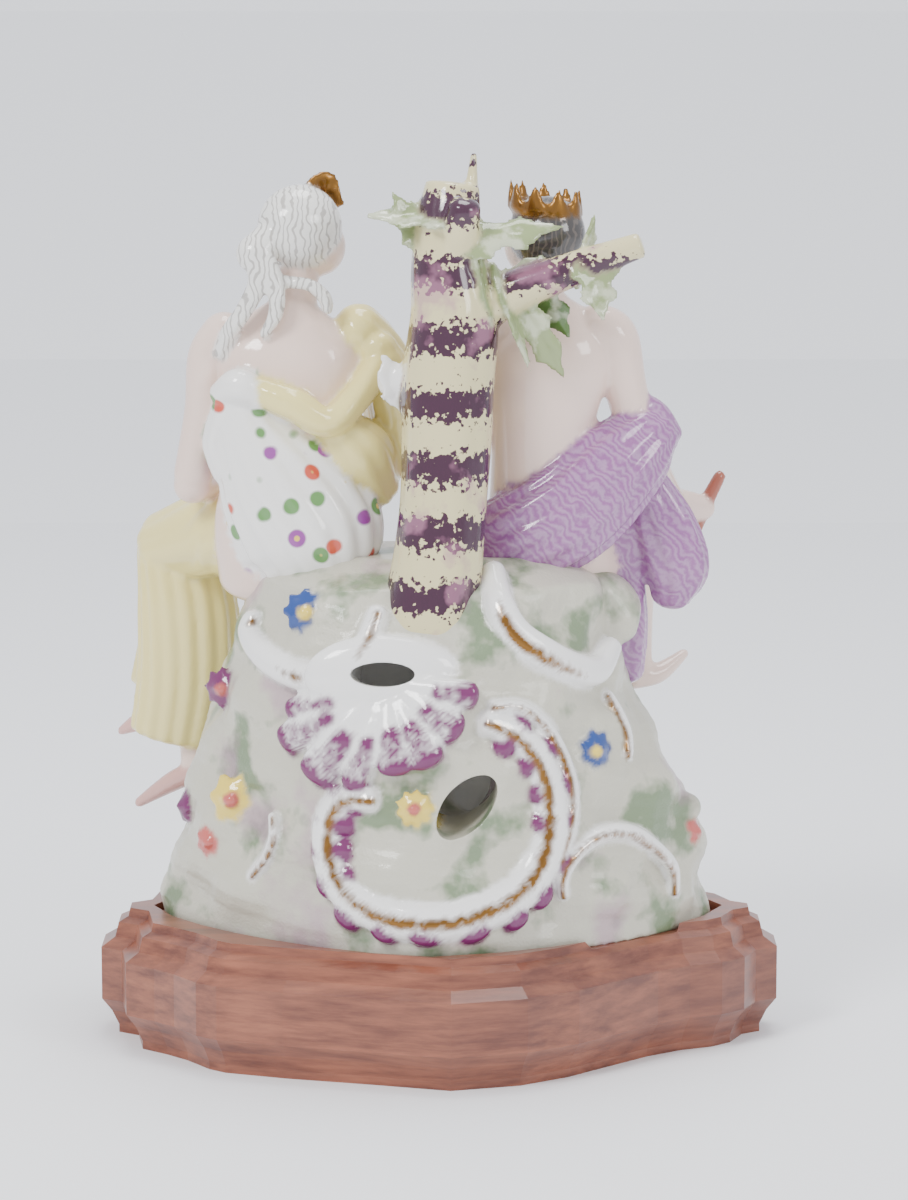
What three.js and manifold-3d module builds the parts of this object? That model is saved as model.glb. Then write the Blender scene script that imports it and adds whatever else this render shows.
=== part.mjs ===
// A porcelain group of two seated figures back to back with a tree, on a rockwork mound with rocaille scrolls,
// standing in the shallow recess of a moulded wooden plinth. Millimetres, +Z up, the origin at the bottom centre.
// The side with the scrolls looks along -Y, and the figures face away from it, along +Y.
import * as THREE from "three";
import { mergeVertices } from "three/addons/utils/BufferGeometryUtils.js";
import Module from "manifold-3d";

const wasm = await Module();
wasm.setup();

// Driving dimensions
const PLINTH_HEIGHT = 43;
const RECESS_DEPTH = 3;
const RECESS_GAP = 0.8;
const MOUND_FOOT = PLINTH_HEIGHT - RECESS_DEPTH;
const MOUND_TOP = 166;
const MOUND_MIDDLE_X = -2;
const LEAF_THICKNESS = 1.8;
const PETAL_RISE = 0.42;
const PETAL_NOTCH = 0.14;
const FLOWER_LIFT = 0.3;
const MOUND_HALF_LENGTH = 90;

// Facets: the share of each form's stated sides and rings that is made, and the fewest sides of a round form
const FINENESS = 0.5;
const LEAST_SIDES = 4;
const CAP_RINGS = 1;

const PORCELAIN = new THREE.MeshStandardMaterial({ color: 0xe9e6dd, roughness: 0.15, metalness: 0 });
const WOOD = new THREE.MeshStandardMaterial({ color: 0x8a5440, roughness: 0.45, metalness: 0 });

const vec = (p) => new THREE.Vector3(p[0], p[1], p[2]);
const lerp = THREE.MathUtils.lerp;

// Keeps only the positions of a geometry, merged, with its faces turned outwards.
function closed(geometry) {
  geometry.deleteAttribute("normal");
  geometry.deleteAttribute("uv");
  const merged = mergeVertices(geometry, 1e-4);
  const index = merged.index.array;
  const at = merged.attributes.position;
  const [a, b, c] = [new THREE.Vector3(), new THREE.Vector3(), new THREE.Vector3()];
  const kept = [];
  let volume = 0;
  for (let i = 0; i < index.length; i += 3) {
    const [p, q, r] = [index[i], index[i + 1], index[i + 2]];
    if (p === q || q === r || r === p) continue;
    kept.push(p, q, r);
    a.fromBufferAttribute(at, p);
    b.fromBufferAttribute(at, q);
    c.fromBufferAttribute(at, r);
    volume += a.dot(b.cross(c));
  }
  if (volume < 0) kept.reverse();
  merged.setIndex(kept);
  return merged;
}

// A value read along a list, with a smooth step between its entries. s runs from 0 to 1.
function along(list, s) {
  const at = Math.min(Math.max(s, 0), 1) * (list.length - 1);
  const i = Math.min(Math.floor(at), list.length - 2);
  const t = at - i;
  const [p0, p1, p2, p3] = [list[Math.max(i - 1, 0)], list[i], list[i + 1], list[Math.min(i + 2,
    list.length - 1)]];
  const bend = (2 * p1 + (p2 - p0) * t + (2 * p0 - 5 * p1 + 4 * p2 - p3) * t * t + (3 * p1 - p0 - 3 * p2
    + p3) * t ** 3) / 2;
  return Math.max(bend, Math.min(p1, p2) * 0.9);
}

// A rounded body along a curve. Each station is [x, y, z, a, b]: a is the half-width along side, b the half-width
// across it. folds gives the surface a number of ridges with a valley between each two, which may turn from one end
// to the other.
function limb(stations, { side = [1, 0, 0], around = 8, rings = 5, folds = null, cap = 1 } = {}) {
  const curve = new THREE.CatmullRomCurve3(stations.map(vec), false, "centripetal");
  const wide = stations.map((p) => p[3]);
  const deep = stations.map((p) => p[4] ?? p[3]);
  const last = stations.length - 1;
  const ends = [0, last].map((i) => Math.min(wide[i], deep[i]) * cap);
  const sides = folds ? 2 * folds.count : Math.max(Math.round(around * FINENESS), LEAST_SIDES);
  const steps = Math.max(Math.round(rings * FINENESS), 1);
  const total = steps + 2 * CAP_RINGS;
  const geometry = new THREE.SphereGeometry(1, sides, total);
  const position = geometry.attributes.position;
  const place = new THREE.Vector3();
  const sideways = new THREE.Vector3();
  for (let i = 0; i < position.count; i++) {
    const ring = Math.floor(i / (sides + 1));
    const column = (i % (sides + 1)) % sides;
    const fromStart = Math.min(ring / CAP_RINGS, 1) * (Math.PI / 2);
    const fromEnd = Math.min((total - ring) / CAP_RINGS, 1) * (Math.PI / 2);
    const size = Math.sin(fromStart) * Math.sin(fromEnd);
    const s = Math.min(Math.max((ring - CAP_RINGS) / steps, 0), 1);
    const lean = folds ? (folds.phase + folds.twist * s) / folds.count : 0;
    const turn = (column * 2 * Math.PI) / sides - lean;
    const t = curve.getUtoTmapping(s);
    const tangent = curve.getTangent(t);
    const beyond = ends[1] * Math.cos(fromEnd) - ends[0] * Math.cos(fromStart);
    curve.getPoint(t, place).addScaledVector(tangent, beyond);
    sideways.set(...side).addScaledVector(tangent, -tangent.dot(sideways.set(...side))).normalize();
    const across = new THREE.Vector3().crossVectors(tangent, sideways);
    const ridge = folds ? 1 + folds.depth * (column % 2 ? -1 : 1) : 1;
    place.addScaledVector(sideways, along(wide, t) * size * ridge * Math.cos(turn));
    place.addScaledVector(across, along(deep, t) * size * ridge * Math.sin(turn));
    position.setXYZ(i, place.x, place.y, place.z);
  }
  return closed(geometry);
}

// An egg: three half-sizes about a centre, the second of them along facing, the third along Z.
function egg(centre, sizes, facing = 0, around = 8, rings = 6) {
  const geometry = new THREE.SphereGeometry(1, around, rings).rotateX(Math.PI / 2);
  geometry.scale(...sizes).rotateZ(facing).translate(...centre);
  return closed(geometry);
}

// The mound's plan at a height: [z, left, right, back, front, fullness].
const MOUND_LEVELS = [
  [MOUND_FOOT, -94, 93, -69, 64, 1.45],
  [60, -92, 90, -69, 62, 1.5],
  [85, -85, 83, -66, 57, 1.6],
  [105, -79, 73, -63, 51, 1.7],
  [120, -75, 64, -60, 46, 1.8],
  [140, -68, 58, -54, 40, 2],
  [158, -62, 55, -42, 34, 2.2],
  [MOUND_TOP, -40, 40, -24, 20, 2.2],
];

function moundPlan(z) {
  const top = MOUND_LEVELS.length - 1;
  let i = 0;
  while (i < top - 1 && z > MOUND_LEVELS[i + 1][0]) i++;
  const [low, high] = [MOUND_LEVELS[i], MOUND_LEVELS[i + 1]];
  const t = Math.min(Math.max((z - low[0]) / (high[0] - low[0]), 0), 1);
  const [left, right, back, front, full] = low.slice(1).map((v, k) => lerp(v, high[k + 1], t));
  return { left: MOUND_MIDDLE_X - left, right: right - MOUND_MIDDLE_X, back: -back, front, full };
}

// A point on the mound's scroll side (face -1) or figure side (face 1), pushed out by lift.
function onMound(x, z, lift = 0, face = -1) {
  const plan = moundPlan(z);
  const reach = x < MOUND_MIDDLE_X ? plan.left : plan.right;
  const share = Math.min(Math.abs(x - MOUND_MIDDLE_X) / reach, 0.97);
  const depth = (face < 0 ? plan.back : plan.front) * (1 - share ** plan.full) ** (1 / plan.full);
  return [x, face * (depth + lift), z];
}

// Rock: soft lumps that swell and sink the mound's surface, as a share of its size.
const lumps = (turn, z) =>
  0.016 * Math.sin(7 * turn + z * 0.11) + 0.014 * Math.sin(11 * turn - z * 0.17 + 1) + 0.01 * Math.sin(z
    * 0.31 + 4 * turn);

function mound() {
  const around = 28;
  const rings = 11;
  const geometry = new THREE.SphereGeometry(1, around, rings);
  const position = geometry.attributes.position;
  for (let i = 0; i < position.count; i++) {
    const ring = Math.floor(i / (around + 1));
    const turn = ((i % (around + 1)) % around) * ((2 * Math.PI) / around);
    const s = Math.max((ring - 1) / (rings - 2), 0);
    const z = ring === rings ? MOUND_TOP : lerp(MOUND_FOOT, MOUND_TOP, Math.min(s, 1));
    const plan = moundPlan(z);
    const [c, d] = [Math.cos(turn), Math.sin(turn)];
    const half = [c < 0 ? plan.left : plan.right, d < 0 ? plan.back : plan.front];
    const share = (Math.abs(c) ** plan.full + Math.abs(d) ** plan.full) ** (-1 / plan.full);
    const size = ring === 0 || ring === rings ? 0 : share * (1 + lumps(turn,
      z) * Math.min((z - MOUND_FOOT) / 10, 1));
    position.setXYZ(i, MOUND_MIDDLE_X + half[0] * c * size, half[1] * d * size, z);
  }
  return closed(geometry);
}

// A disc of petals with a raised middle, looking along out.
function flower(centre, out, radius, petals) {
  const around = petals * 2;
  const rings = 2;
  const geometry = new THREE.SphereGeometry(1, around, rings).rotateX(Math.PI / 2);
  const position = geometry.attributes.position;
  for (let i = 0; i < position.count; i++) {
    const [x, y, z] = [position.getX(i), position.getY(i), position.getZ(i)];
    const turn = Math.atan2(y, x);
    const edge = 1 - PETAL_NOTCH * (1 - Math.cos(petals * turn)) * Math.hypot(x, y);
    position.setXYZ(i, x * radius * edge, y * radius * edge, z * radius * PETAL_RISE);
  }
  const turned = new THREE.Quaternion().setFromUnitVectors(new THREE.Vector3(0, 0, 1),
    vec(out).normalize());
  geometry.applyQuaternion(turned).translate(...centre);
  return closed(geometry);
}

// A lobed leaf: from base to tip, half-width wide, its face along up, curling towards it by curl.
function leaf(base, tip, up, wide, curl) {
  const length = vec(tip).distanceTo(vec(base));
  const lobes = [
    [-0.12, 0.1], [0.06, 0.62], [0.26, 1], [0.38, 0.6], [0.62, 0.78], [0.76, 0.34], [1, 0.04],
  ];
  const outline = new THREE.Shape();
  outline.moveTo(lobes[0][0] * length, lobes[0][1] * wide);
  for (const [x, y] of lobes.slice(1)) outline.lineTo(x * length, y * wide);
  for (const [x, y] of lobes.toReversed()) outline.lineTo(x * length, -y * wide);
  const geometry = new THREE.ExtrudeGeometry(outline, { depth: LEAF_THICKNESS, bevelEnabled: false,
    steps: 1 });
  const position = geometry.attributes.position;
  for (let i = 0; i < position.count; i++) {
    const [x, y, z] = [position.getX(i), position.getY(i), position.getZ(i)];
    const bend = curl * (((x / length) ** 2) * 0.6 + (y / wide) ** 2 * 0.4);
    position.setXYZ(i, x, y, z - LEAF_THICKNESS / 2 + bend);
  }
  const long = vec(tip).sub(vec(base)).normalize();
  const face = vec(up).addScaledVector(long, -vec(up).dot(long)).normalize();
  const cross = new THREE.Vector3().crossVectors(face, long);
  geometry.applyMatrix4(new THREE.Matrix4().makeBasis(long, cross, face).setPosition(vec(base)));
  return closed(geometry);
}

function woman() {
  const soft = { count: 7, depth: 0.06, phase: 0.4, twist: 1.2 };
  return [
    // body and head
    limb([[-50, 8, 158, 25, 20], [-52, 4, 176, 24, 18], [-52, 1, 200, 19, 13.5], [-51, 0, 218, 22, 14],
      [-50, 1, 232, 25, 13.5], [-49.5, 2, 242, 17, 10],
        [-49, 3, 249, 8, 8]], { around: 14, rings: 9, cap: 0.5 }),
    limb([[-49, 3, 244, 8, 8], [-46.5, 5, 264, 6.5, 7]], { around: 8, rings: 2 }),
    egg([-45.5, 5, 273.5], [13, 15, 15], -1.08),
    egg([-40.5, 7.5, 266.5], [8.5, 9.5, 10], -1.08, 8, 6),
    limb([[-57, -3, 270, 6, 6], [-61, -5, 266, 6.5, 6.5]], { around: 8, rings: 1 }),
    limb([[-61, -7, 264, 4], [-60, -9, 257, 3.4], [-65, -10, 247, 3], [-70, -8, 240, 2.8],
      [-73, -6, 233, 2]],
      { around: 6, rings: 7 }),
    limb([[-57, -8, 263, 3.6], [-54, -10, 256, 3], [-54, -12, 247, 2.6],
      [-58, -12, 240, 1.6]], { around: 6, rings: 5 }),
    limb([[-52, -7, 257, 2.2], [-43, -9, 256, 2.2], [-38, -9, 252, 2.4],
      [-37, -9, 248, 2]], { around: 6, rings: 5 }),
    limb([[-43.5, 9, 287, 3.4, 1.2], [-38, 14, 287.5, 5, 1.4],
      [-34, 15, 281, 3.4, 1.2]], { side: [-0.2, -0.4, 1], around: 6, rings: 3 }),
    // arms
    limb([[-72, 4, 238, 8, 9], [-77, 4, 230, 7.6, 8.4], [-79.5, 4, 213, 6.2, 7],
      [-83, 6, 191, 6.6, 6.6]], { rings: 5 }),
    limb([[-83.5, 7, 187, 6.4], [-77, 24, 186, 5.8], [-67, 40, 188, 4.2]], { side: [0, 0, 1], rings: 4 }),
    limb([[-66, 41, 188, 4.4, 3], [-57, 52, 188, 4.6, 2.6]], { side: [0, 0, 1], around: 6, rings: 2 }),
    limb([[-27, 3, 240, 8.5, 9.5], [-20, 9, 230, 9.5, 10], [-16, 15, 214, 10, 10],
      [-17, 18, 203, 8.5, 9]], { around: 10, rings: 5 }),
    limb([[-18, 18, 203, 6], [-14, 34, 197, 5],
      [-9, 46, 196, 3.8]], { side: [0, 0, 1], around: 6, rings: 3 }),
    limb([[-8, 47, 196, 4, 3], [-1, 52, 195, 3.6, 2.6]], { side: [0, 0, 1], around: 6, rings: 1 }),
    // skirt over the legs, and the hanging hems
    limb([[-54, 10, 168, 18, 17], [-74, 28, 168, 16, 15],
      [-93, 46, 161, 12.5, 12.5]], { side: [0.6, -0.8, 0], around: 12, rings: 5 }),
    limb([[-46, 22, 168, 16, 14], [-66, 44, 169, 14, 13],
      [-84, 61, 160, 11.5, 11.5]], { side: [0.6, -0.8, 0], around: 10, rings: 4 }),
    limb([[-92, 47, 161, 13.5, 12.5], [-88, 46, 140, 17, 14], [-88, 47, 115, 17.5, 13],
      [-92, 49, 93, 16.5, 10.5]],
      { around: 16, rings: 7, folds: soft, cap: 0.3 }),
    limb([[-84, 61, 160, 12, 11], [-93, 61, 132, 11, 10],
      [-100, 61, 108, 9.5, 8]], { around: 10, rings: 4, cap: 0.3 }),
    // feet in sandals
    limb([[-86, 48, 94, 5.4], [-86, 47, 83, 5]], { around: 8, rings: 1 }),
    limb([[-84, 46, 81, 4.6, 4], [-94, 48.5, 76, 4.4, 3.6],
      [-106, 51, 68, 2.6, 1.8]], { side: [0, 1, 0], around: 8, rings: 4 }),
    limb([[-102, 61, 106, 4.4], [-104, 62, 98, 4.2]], { around: 6, rings: 1 }),
    limb([[-102, 61, 97, 4, 3.6], [-108, 63, 94, 3.6, 3],
      [-113, 65, 91, 2, 1.6]], { side: [0, 1, 0], around: 6, rings: 3 }),
    // flowered cloth spread over the hips, gathered in a knot at the side
    limb([[-67, -7, 220, 8.5, 8], [-61, -5, 205, 15, 12.5], [-53, -5, 190, 21.5, 16],
      [-43, -6, 173, 24.5, 17], [-40, -6, 162, 20, 15]],
      { around: 18, rings: 8, folds: { count: 8, depth: 0.055, phase: 0.5, twist: 0.9 }, cap: 0.45 }),
    limb([[-72, -9, 220, 4.5], [-66, -14, 223, 6],
      [-60, -14, 219, 4.5]], { side: [0, 1, 0], around: 8, rings: 2 }),
    limb([[-71, -7, 214, 5, 6], [-74, -5, 203, 5, 6], [-72, -5, 193, 4, 5]], { around: 6, rings: 3 }),
    // yellow cloth: the roll from the knot to the shoulder, and the sleeve hanging from it
    limb([[-61, -14, 222, 4.5], [-48, -17, 217, 5.5], [-37, -16, 211, 5], [-27, -10, 219, 5],
      [-19, -2, 231, 5]],
      { side: [0, 1, 0], around: 8, rings: 7 }),
    limb([[-35, -8, 208, 8, 7], [-28, -4, 200, 12, 12], [-22, 4, 190, 9, 12]], { around: 8, rings: 4 }),
    limb([[-21, -1, 234, 7, 6], [-15, 4, 218, 9, 8], [-14, 8, 200, 8, 8], [-20, 9, 191, 5, 6]],
      { around: 12, rings: 6, folds: { count: 5, depth: 0.08, phase: 0, twist: 1 } }),
  ];
}

function man() {
  return [
    // body and head
    limb([[38, 10, 158, 24, 19], [36, 5, 176, 20, 16], [34, 1, 198, 16.5, 12.5], [35.5, -1, 217, 18.5, 13],
      [37.5, -1, 232, 20.5, 13], [37, 1, 242, 15, 10],
        [35.5, 2, 249, 8, 8]], { around: 14, rings: 9, cap: 0.5 }),
    limb([[35.5, 2, 245, 7.4], [33, 4, 263, 6.4]], { around: 8, rings: 2 }),
    egg([35.5, 6, 273], [11.8, 13.6, 12.6], 0.93),
    egg([30.5, 9, 267], [7.8, 9, 9.4], 0.93, 8, 6),
    // arms
    limb([[53, 1, 241, 8, 9], [58.5, 1, 237, 8.4, 9], [62.5, 2, 221, 7.2, 7.6],
      [67, 5, 203, 6.8, 7]], { rings: 5 }),
    limb([[67, 6, 202, 6.6], [73, 20, 190, 5.8],
      [80, 32, 179, 4.2]], { side: [1, 0, 0], around: 8, rings: 3 }),
    limb([[80, 32, 179, 4, 3.4], [88, 39, 175, 5, 3.4],
      [93, 42, 174, 3.6, 2.6]], { side: [0, 0, 1], around: 6, rings: 2 }),
    limb([[88.5, 41, 166, 2.2], [92, 42, 175, 2.6], [97, 43, 185, 2.2]], { around: 6, rings: 2 }),
    limb([[20, 3, 241, 8, 9], [14, 7, 233, 7.6, 8.4], [10, 16, 220, 6.6, 7],
      [8, 25, 210, 6.4]], { rings: 4 }),
    limb([[8, 25, 210, 6.2], [5, 38, 202, 5.2], [1, 48, 196, 4]], { around: 6, rings: 2 }),
    limb([[1, 48, 196, 4, 3], [-4, 54, 193, 3.4, 2.6]], { side: [0, 0, 1], around: 6, rings: 1 }),
    // legs under the cloth, bare below the knee
    limb([[44, 14, 166, 17, 15], [58, 36, 166, 14.5, 13.5],
      [66, 52, 160, 12, 12]], { side: [0.8, -0.5, 0], around: 10, rings: 4 }),
    limb([[30, 14, 166, 16, 15], [34, 38, 168, 14.5, 13.5],
      [36, 56, 160, 12, 12]], { side: [1, 0, 0], around: 10, rings: 4 }),
    limb([[66, 52, 158, 10], [67, 54, 142, 8.2], [69, 53, 122, 5.6], [70, 52, 114, 5]], { rings: 5 }),
    limb([[68, 51, 113, 4.6, 4.4], [77, 54, 114, 4.4, 3.6],
      [86, 58, 120, 2.2, 1.8]], { side: [0, 1, 0], around: 8, rings: 3 }),
    limb([[36, 56, 158, 10], [35, 60, 138, 8.2], [33, 58, 112, 5.6], [33, 56, 102, 5]], { rings: 5 }),
    limb([[33, 54, 100, 4.6, 4.4], [32, 64, 97, 4.6, 3.6],
      [31, 74, 93, 3, 2]], { side: [1, 0, 0], around: 8, rings: 3 }),
    // lilac cloth: the broad swag across the back to the elbow, its end and the two falls
    limb([[14, -2, 164, 15, 13], [28, -8, 171, 16.5, 12], [44, -9, 180, 17, 11], [58, -5, 193, 16, 10],
      [69, 0, 203, 12.5, 8.5], [75, 3, 207, 8, 6]],
      { side: [-0.5, 0, 0.85], around: 14, rings: 9, folds: { count: 6, depth: 0.07, phase: 1.2,
        twist: 0.8 }, cap: 0.6 }),
    limb([[66, 2, 214, 6, 4], [73, 3, 211, 5, 4],
      [79, 4, 205, 3, 3]], { side: [0, 0, 1], around: 6, rings: 3 }),
    limb([[70, 8, 186, 8, 7], [76, 8, 172, 11, 7.5], [80, 8, 158, 11.5, 7], [79, 9, 149, 7, 5]],
      { around: 10, rings: 5, folds: { count: 4, depth: 0.1, phase: 0, twist: 0.6 } }),
    limb([[62, 9, 172, 7, 6], [63, 11, 155, 6.8, 6], [63.5, 12, 138, 7.6, 6], [61.5, 12, 123, 8.4, 5.5]],
      { around: 8, rings: 5, folds: { count: 3, depth: 0.1, phase: 1, twist: 0.5 } }),
    limb([[40, 34, 176, 20, 6], [46, 54, 168, 22, 7], [46, 62, 152, 20, 5], [42, 60, 142, 14, 4]],
      { side: [1, 0, 0], around: 12, rings: 6, folds: { count: 5, depth: 0.12, phase: 0, twist: 0.4 } }),
    ...crown(),
  ];
}

// The gilt crown: a band that leans with the head, and a ring of points.
function crown() {
  const points = 9;
  const [rx, ry] = [11.4, 12.2];
  const height = (x) => 281.4 - (x - 35.5) * 0.14;
  const rim = [];
  for (let i = 0; i < points; i++) {
    const turn = (2 * Math.PI * i) / points + 0.2;
    const [x, y] = [35.5 + rx * Math.cos(turn), 6 + ry * Math.sin(turn)];
    const tip = new THREE.ConeGeometry(3.4, 9, 4).rotateX(Math.PI / 2).translate(0, 0, 3.6);
    tip.scale(0.4, 1, 1).rotateZ(turn).translate(x, y, height(x));
    rim.push(closed(tip));
  }
  const band = new THREE.CylinderGeometry(12.2, 11.6, 3.4, 14).rotateX(Math.PI / 2);
  band.scale(1, 12.8 / 12, 1).rotateY(0.14).translate(35.5, 6, 280.6);
  return [closed(band), ...rim];
}

function tree() {
  return [
    limb([[-4.5, -36, 138, 20, 16], [-3.5, -35, 147, 16.5, 15], [-0.5, -33, 166, 14.8, 14.4],
      [1.5, -31, 187, 14.2], [2.5, -29, 207, 14.8],
      [3, -27, 226, 15.2], [5, -25, 246, 14.6], [3.5, -24, 262, 12.8, 13], [3, -23, 276, 11, 12],
        [4.5, -22, 290, 9, 8]],
      { around: 12, rings: 12, cap: 0.15 }),
    limb([[10.5, -21, 286, 2.6, 4], [11.5, -20.5, 300, 1, 2.4]], { around: 6, rings: 2, cap: 0.3 }),
    limb([[5, -28, 266, 6.5], [7, -33, 275, 6.2], [8.5, -36, 284, 5.2]], { around: 8, rings: 2, cap: 0.5 }),
    limb([[10, -24, 244, 8, 7], [22, -25, 254, 7], [43, -27, 262.5, 6, 5.8],
      [66, -30, 271, 4.2]], { side: [0, 1, 0], around: 8, rings: 5, cap: 0.15 }),
    limb([[-10, -26, 226, 4, 3], [-18, -22, 226, 5, 2.4]], { side: [0, 0, 1], around: 6, rings: 1 }),
    leaf([6, -28, 281], [-24, -27, 278], [0.1, -0.45, 1], 13, 5),
    leaf([-4, -26, 270], [-16, -26, 288], [0.5, -1, 0.2], 8, 3),
    leaf([6, -33, 272], [41, -33, 279], [0, -0.75, 0.7], 9, -4),
    leaf([20, -24, 256], [36, -22, 268], [0.2, -1, 0.2], 5, 2),
    leaf([46, -23, 258], [51, -22, 282], [0.9, -0.5, 0], 6, 2),
    leaf([50, -30, 266], [53, -34, 246], [0.3, -1, 0], 9, 5),
    leaf([19, -28, 262], [30, -31, 228], [0.9, -0.4, 0.2], 6, 2),
    leaf([28, -26, 250], [42, -26, 226], [-0.3, -1, -0.2], 7.5, 2),
    leaf([30, -22, 258], [44, -20, 240], [0.2, 1, 0.3], 8.5, -3),
    leaf([12, -32, 270], [17, -33, 244], [1, -0.3, 0], 5, 1.5),
    leaf([-12, -25, 218], [-19, -24, 236], [0.3, -1, 0], 6.5, 2),
  ];
}

// Scroll lines on the mound's scroll side, as [x, z].
const SCROLLS = {
  topLeft: [[-62, 146], [-63, 141], [-58, 135.5], [-49, 131.5], [-40, 131], [-31, 135], [-24, 142],
    [-20, 152]],
  topRight: [[18, 163], [20, 154], [25, 145], [34, 138], [44, 132], [52, 130], [57, 135]],
  bottom: [[-22, 93], [-31, 92], [-36, 84], [-35, 70], [-28, 60], [-17, 55], [-4, 53.5], [9, 55],
    [22, 59.5], [31, 67], [36, 79], [36, 92],
    [32, 105], [24, 114], [16, 118]],
  right: [[18, 123], [27, 122], [35, 115], [41, 104], [44, 93], [43.5, 82], [40, 71]],
  arch: [[41, 59], [41, 66], [46, 73.5], [54, 77.5], [63, 76.5], [71, 70.5], [78, 62], [79, 53]],
  left: [[-55, 84], [-54.5, 77], [-57, 70], [-62, 63]],
  upperRight: [[56, 121], [59, 115], [62, 108], [63, 101]],
};

// The tips of the shell's lobes and of the lobes round the bottom scroll: [x, z, half-width].
const SHELL_HEART = [-16, 130];
const SHELL_TIPS = [[-49, 120, 4], [-51, 109, 6], [-41, 98.5, 7.5], [-28, 97, 5], [-14, 103, 6.5],
  [-3, 106, 6.5], [6, 116, 6], [11.5, 127, 5]];
const BOTTOM_LOBES = [[-35, 93, 4.5], [-40, 84, 4.5], [-41, 73, 5], [-39, 62, 5], [-32, 51.5, 5.5],
  [-19, 47.5, 5], [-5, 47, 6], [12, 47.5, 6], [27, 51, 5], [36, 58, 5],
  [43, 69, 4.5], [44, 84, 4.5], [43, 97, 4.5], [37, 109, 4.5], [28, 118, 4.5]];
const BOTTOM_HEART = [0, 83];

function rocaille() {
  const lobes = SHELL_TIPS.map(([x, z, w]) => {
    const [hx, hz] = SHELL_HEART;
    return limb([[...onMound(lerp(hx, x, 0.25), lerp(hz, z, 0.25), 0), w * 0.7, 3],
      [...onMound(lerp(hx, x, 0.6), lerp(hz, z, 0.6), 2), w * 0.95, 3.6],
      [...onMound(lerp(hx, x, 0.88), lerp(hz, z, 0.88), 2),
        w, 4]], { side: [z - hz, 0, hx - x], around: 6, rings: 3, cap: 0.9 });
  });
  const frill = BOTTOM_LOBES.map(([x, z, w]) => {
    const [hx, hz] = BOTTOM_HEART;
    return limb([[...onMound(lerp(x, hx, 0.26), lerp(z, hz, 0.26), 0), w * 0.8, 3],
      [...onMound(lerp(x, hx, 0.06), lerp(z, hz, 0.06), 1), w, 3.6]],
      { side: [z - hz, 0, hx - x], around: 6, rings: 1, cap: 0.9 });
  });
  return [
    egg([-18, -52, 132], [26, 7, 14], 0, 10, 6),
    ...lobes,
    ...frill,
    band(SCROLLS.topLeft, 5, 4.5, 10, 1),
    band(SCROLLS.topRight, 6, 4.5, 9, 1),
    band(SCROLLS.bottom, 6.5, 4, 22, 0.5),
    band(SCROLLS.right, 2.4, 3.6, 9, 0.8),
    band(SCROLLS.arch, 3, 3.6, 10, 0.8),
    band(SCROLLS.left, 2, 2.6, 4, 0.4),
    band(SCROLLS.upperRight, 2.6, 3, 4, 0.6),
  ];
}

// A raised band along a line on the mound: wide is its half-width in the face, high its half-thickness.
function band(line, wide, high, rings, lift, face = -1) {
  const stations = line.map(([x, z], i) => {
    const taper = 0.6 + 0.4 * Math.sin((Math.PI * (i + 0.5)) / line.length);
    return [...onMound(x, z, lift, face), high, wide * taper];
  });
  return limb(stations, { side: [0, 1, 0], around: 6, rings, cap: 0.7 });
}

function flowers() {
  const set = [
    [-44, 151, 8, 8, [-0.1, -1, 0.25]], [-73, 121, 7.3, 8, [-0.6, -1, 0.1]],
      [-69, 87, 9, 6, [-0.5, -1, 0.1]], [-77, 71, 5.6, 7, [-0.6, -1, 0]],
    [-8, 91, 6.6, 9, [0, -1, 0.1]], [52, 105, 6.5, 7, [0.8, -1, 0.1]],
  ];
  return set.map(([x, z, r, petals, out]) => flower(onMound(x, z, FLOWER_LIFT), out, r, petals));
}

// The figure side is kept plainer: two scrolls, a few flowers and rocks that carry the feet.
function figureSide() {
  const set = [[-20, 128, 7, 7], [2, 96, 8, 8], [-48, 72, 6.5, 6], [58, 78, 7, 7]];
  return [
    band([[-46, 104], [-40, 92], [-26, 86], [-12, 92], [-6, 106]], 4, 4, 9, 0.8, 1),
    band([[10, 62], [22, 72], [38, 74], [52, 64], [56, 52]], 4, 4, 9, 0.8, 1),
    ...set.map(([x, z, r, petals]) => flower(onMound(x, z, FLOWER_LIFT, 1),
      [x / MOUND_HALF_LENGTH, 1, 0.1], r, petals)),
    flower([-86, -6, 79], [-1, -0.25, 0.1], 6, 8),
    flower([86, -6, 70], [1, -0.3, 0.1], 6, 5),
    limb([[70, -6, 82, 10, 8], [84, -4, 78, 5, 5]], { side: [0, 1, 0], around: 8, rings: 2 }),
    limb([[46, 2, 148, 13, 14], [56, -2, 150, 8, 12],
      [57, -6, 140, 6, 10]], { side: [0, 0, 1], around: 8, rings: 2 }),
  ];
}

// The hollow behind the two openings of the scroll side: each opening's tunnel and the chamber that joins them.
function hollow() {
  return [
    limb([[-19, -84, 134, 10.5, 4.2], [-18, -55, 133.5, 10.5, 4.2],
      [-15, -36, 130, 11, 8]], { around: 12, rings: 3 }),
    limb([[9.5, -86, 91, 12.5, 7.4], [9, -60, 91, 12.5, 7.4],
      [6, -38, 94, 12, 10]], { side: [0.68, 0, 0.73], around: 12, rings: 3 }),
    limb([[-14, -34, 128, 12], [5, -35, 95, 13]], { around: 10, rings: 3 }),
  ];
}

function solid(geometry) {
  return new wasm.Manifold(
    new wasm.Mesh({ numProp: 3, vertProperties: geometry.attributes.position.array,
      triVerts: new Uint32Array(geometry.index.array) }),
  );
}

// The whole body as a geometry, without the slivers that a join of curved forms can leave beside it.
function fromSolid(made) {
  const mesh = made.decompose().sort((one, two) => two.volume() - one.volume())[0].getMesh();
  return new THREE.BufferGeometry()
    .setAttribute("position", new THREE.BufferAttribute(mesh.vertProperties, 3))
    .setIndex(new THREE.BufferAttribute(mesh.triVerts, 1));
}

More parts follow.
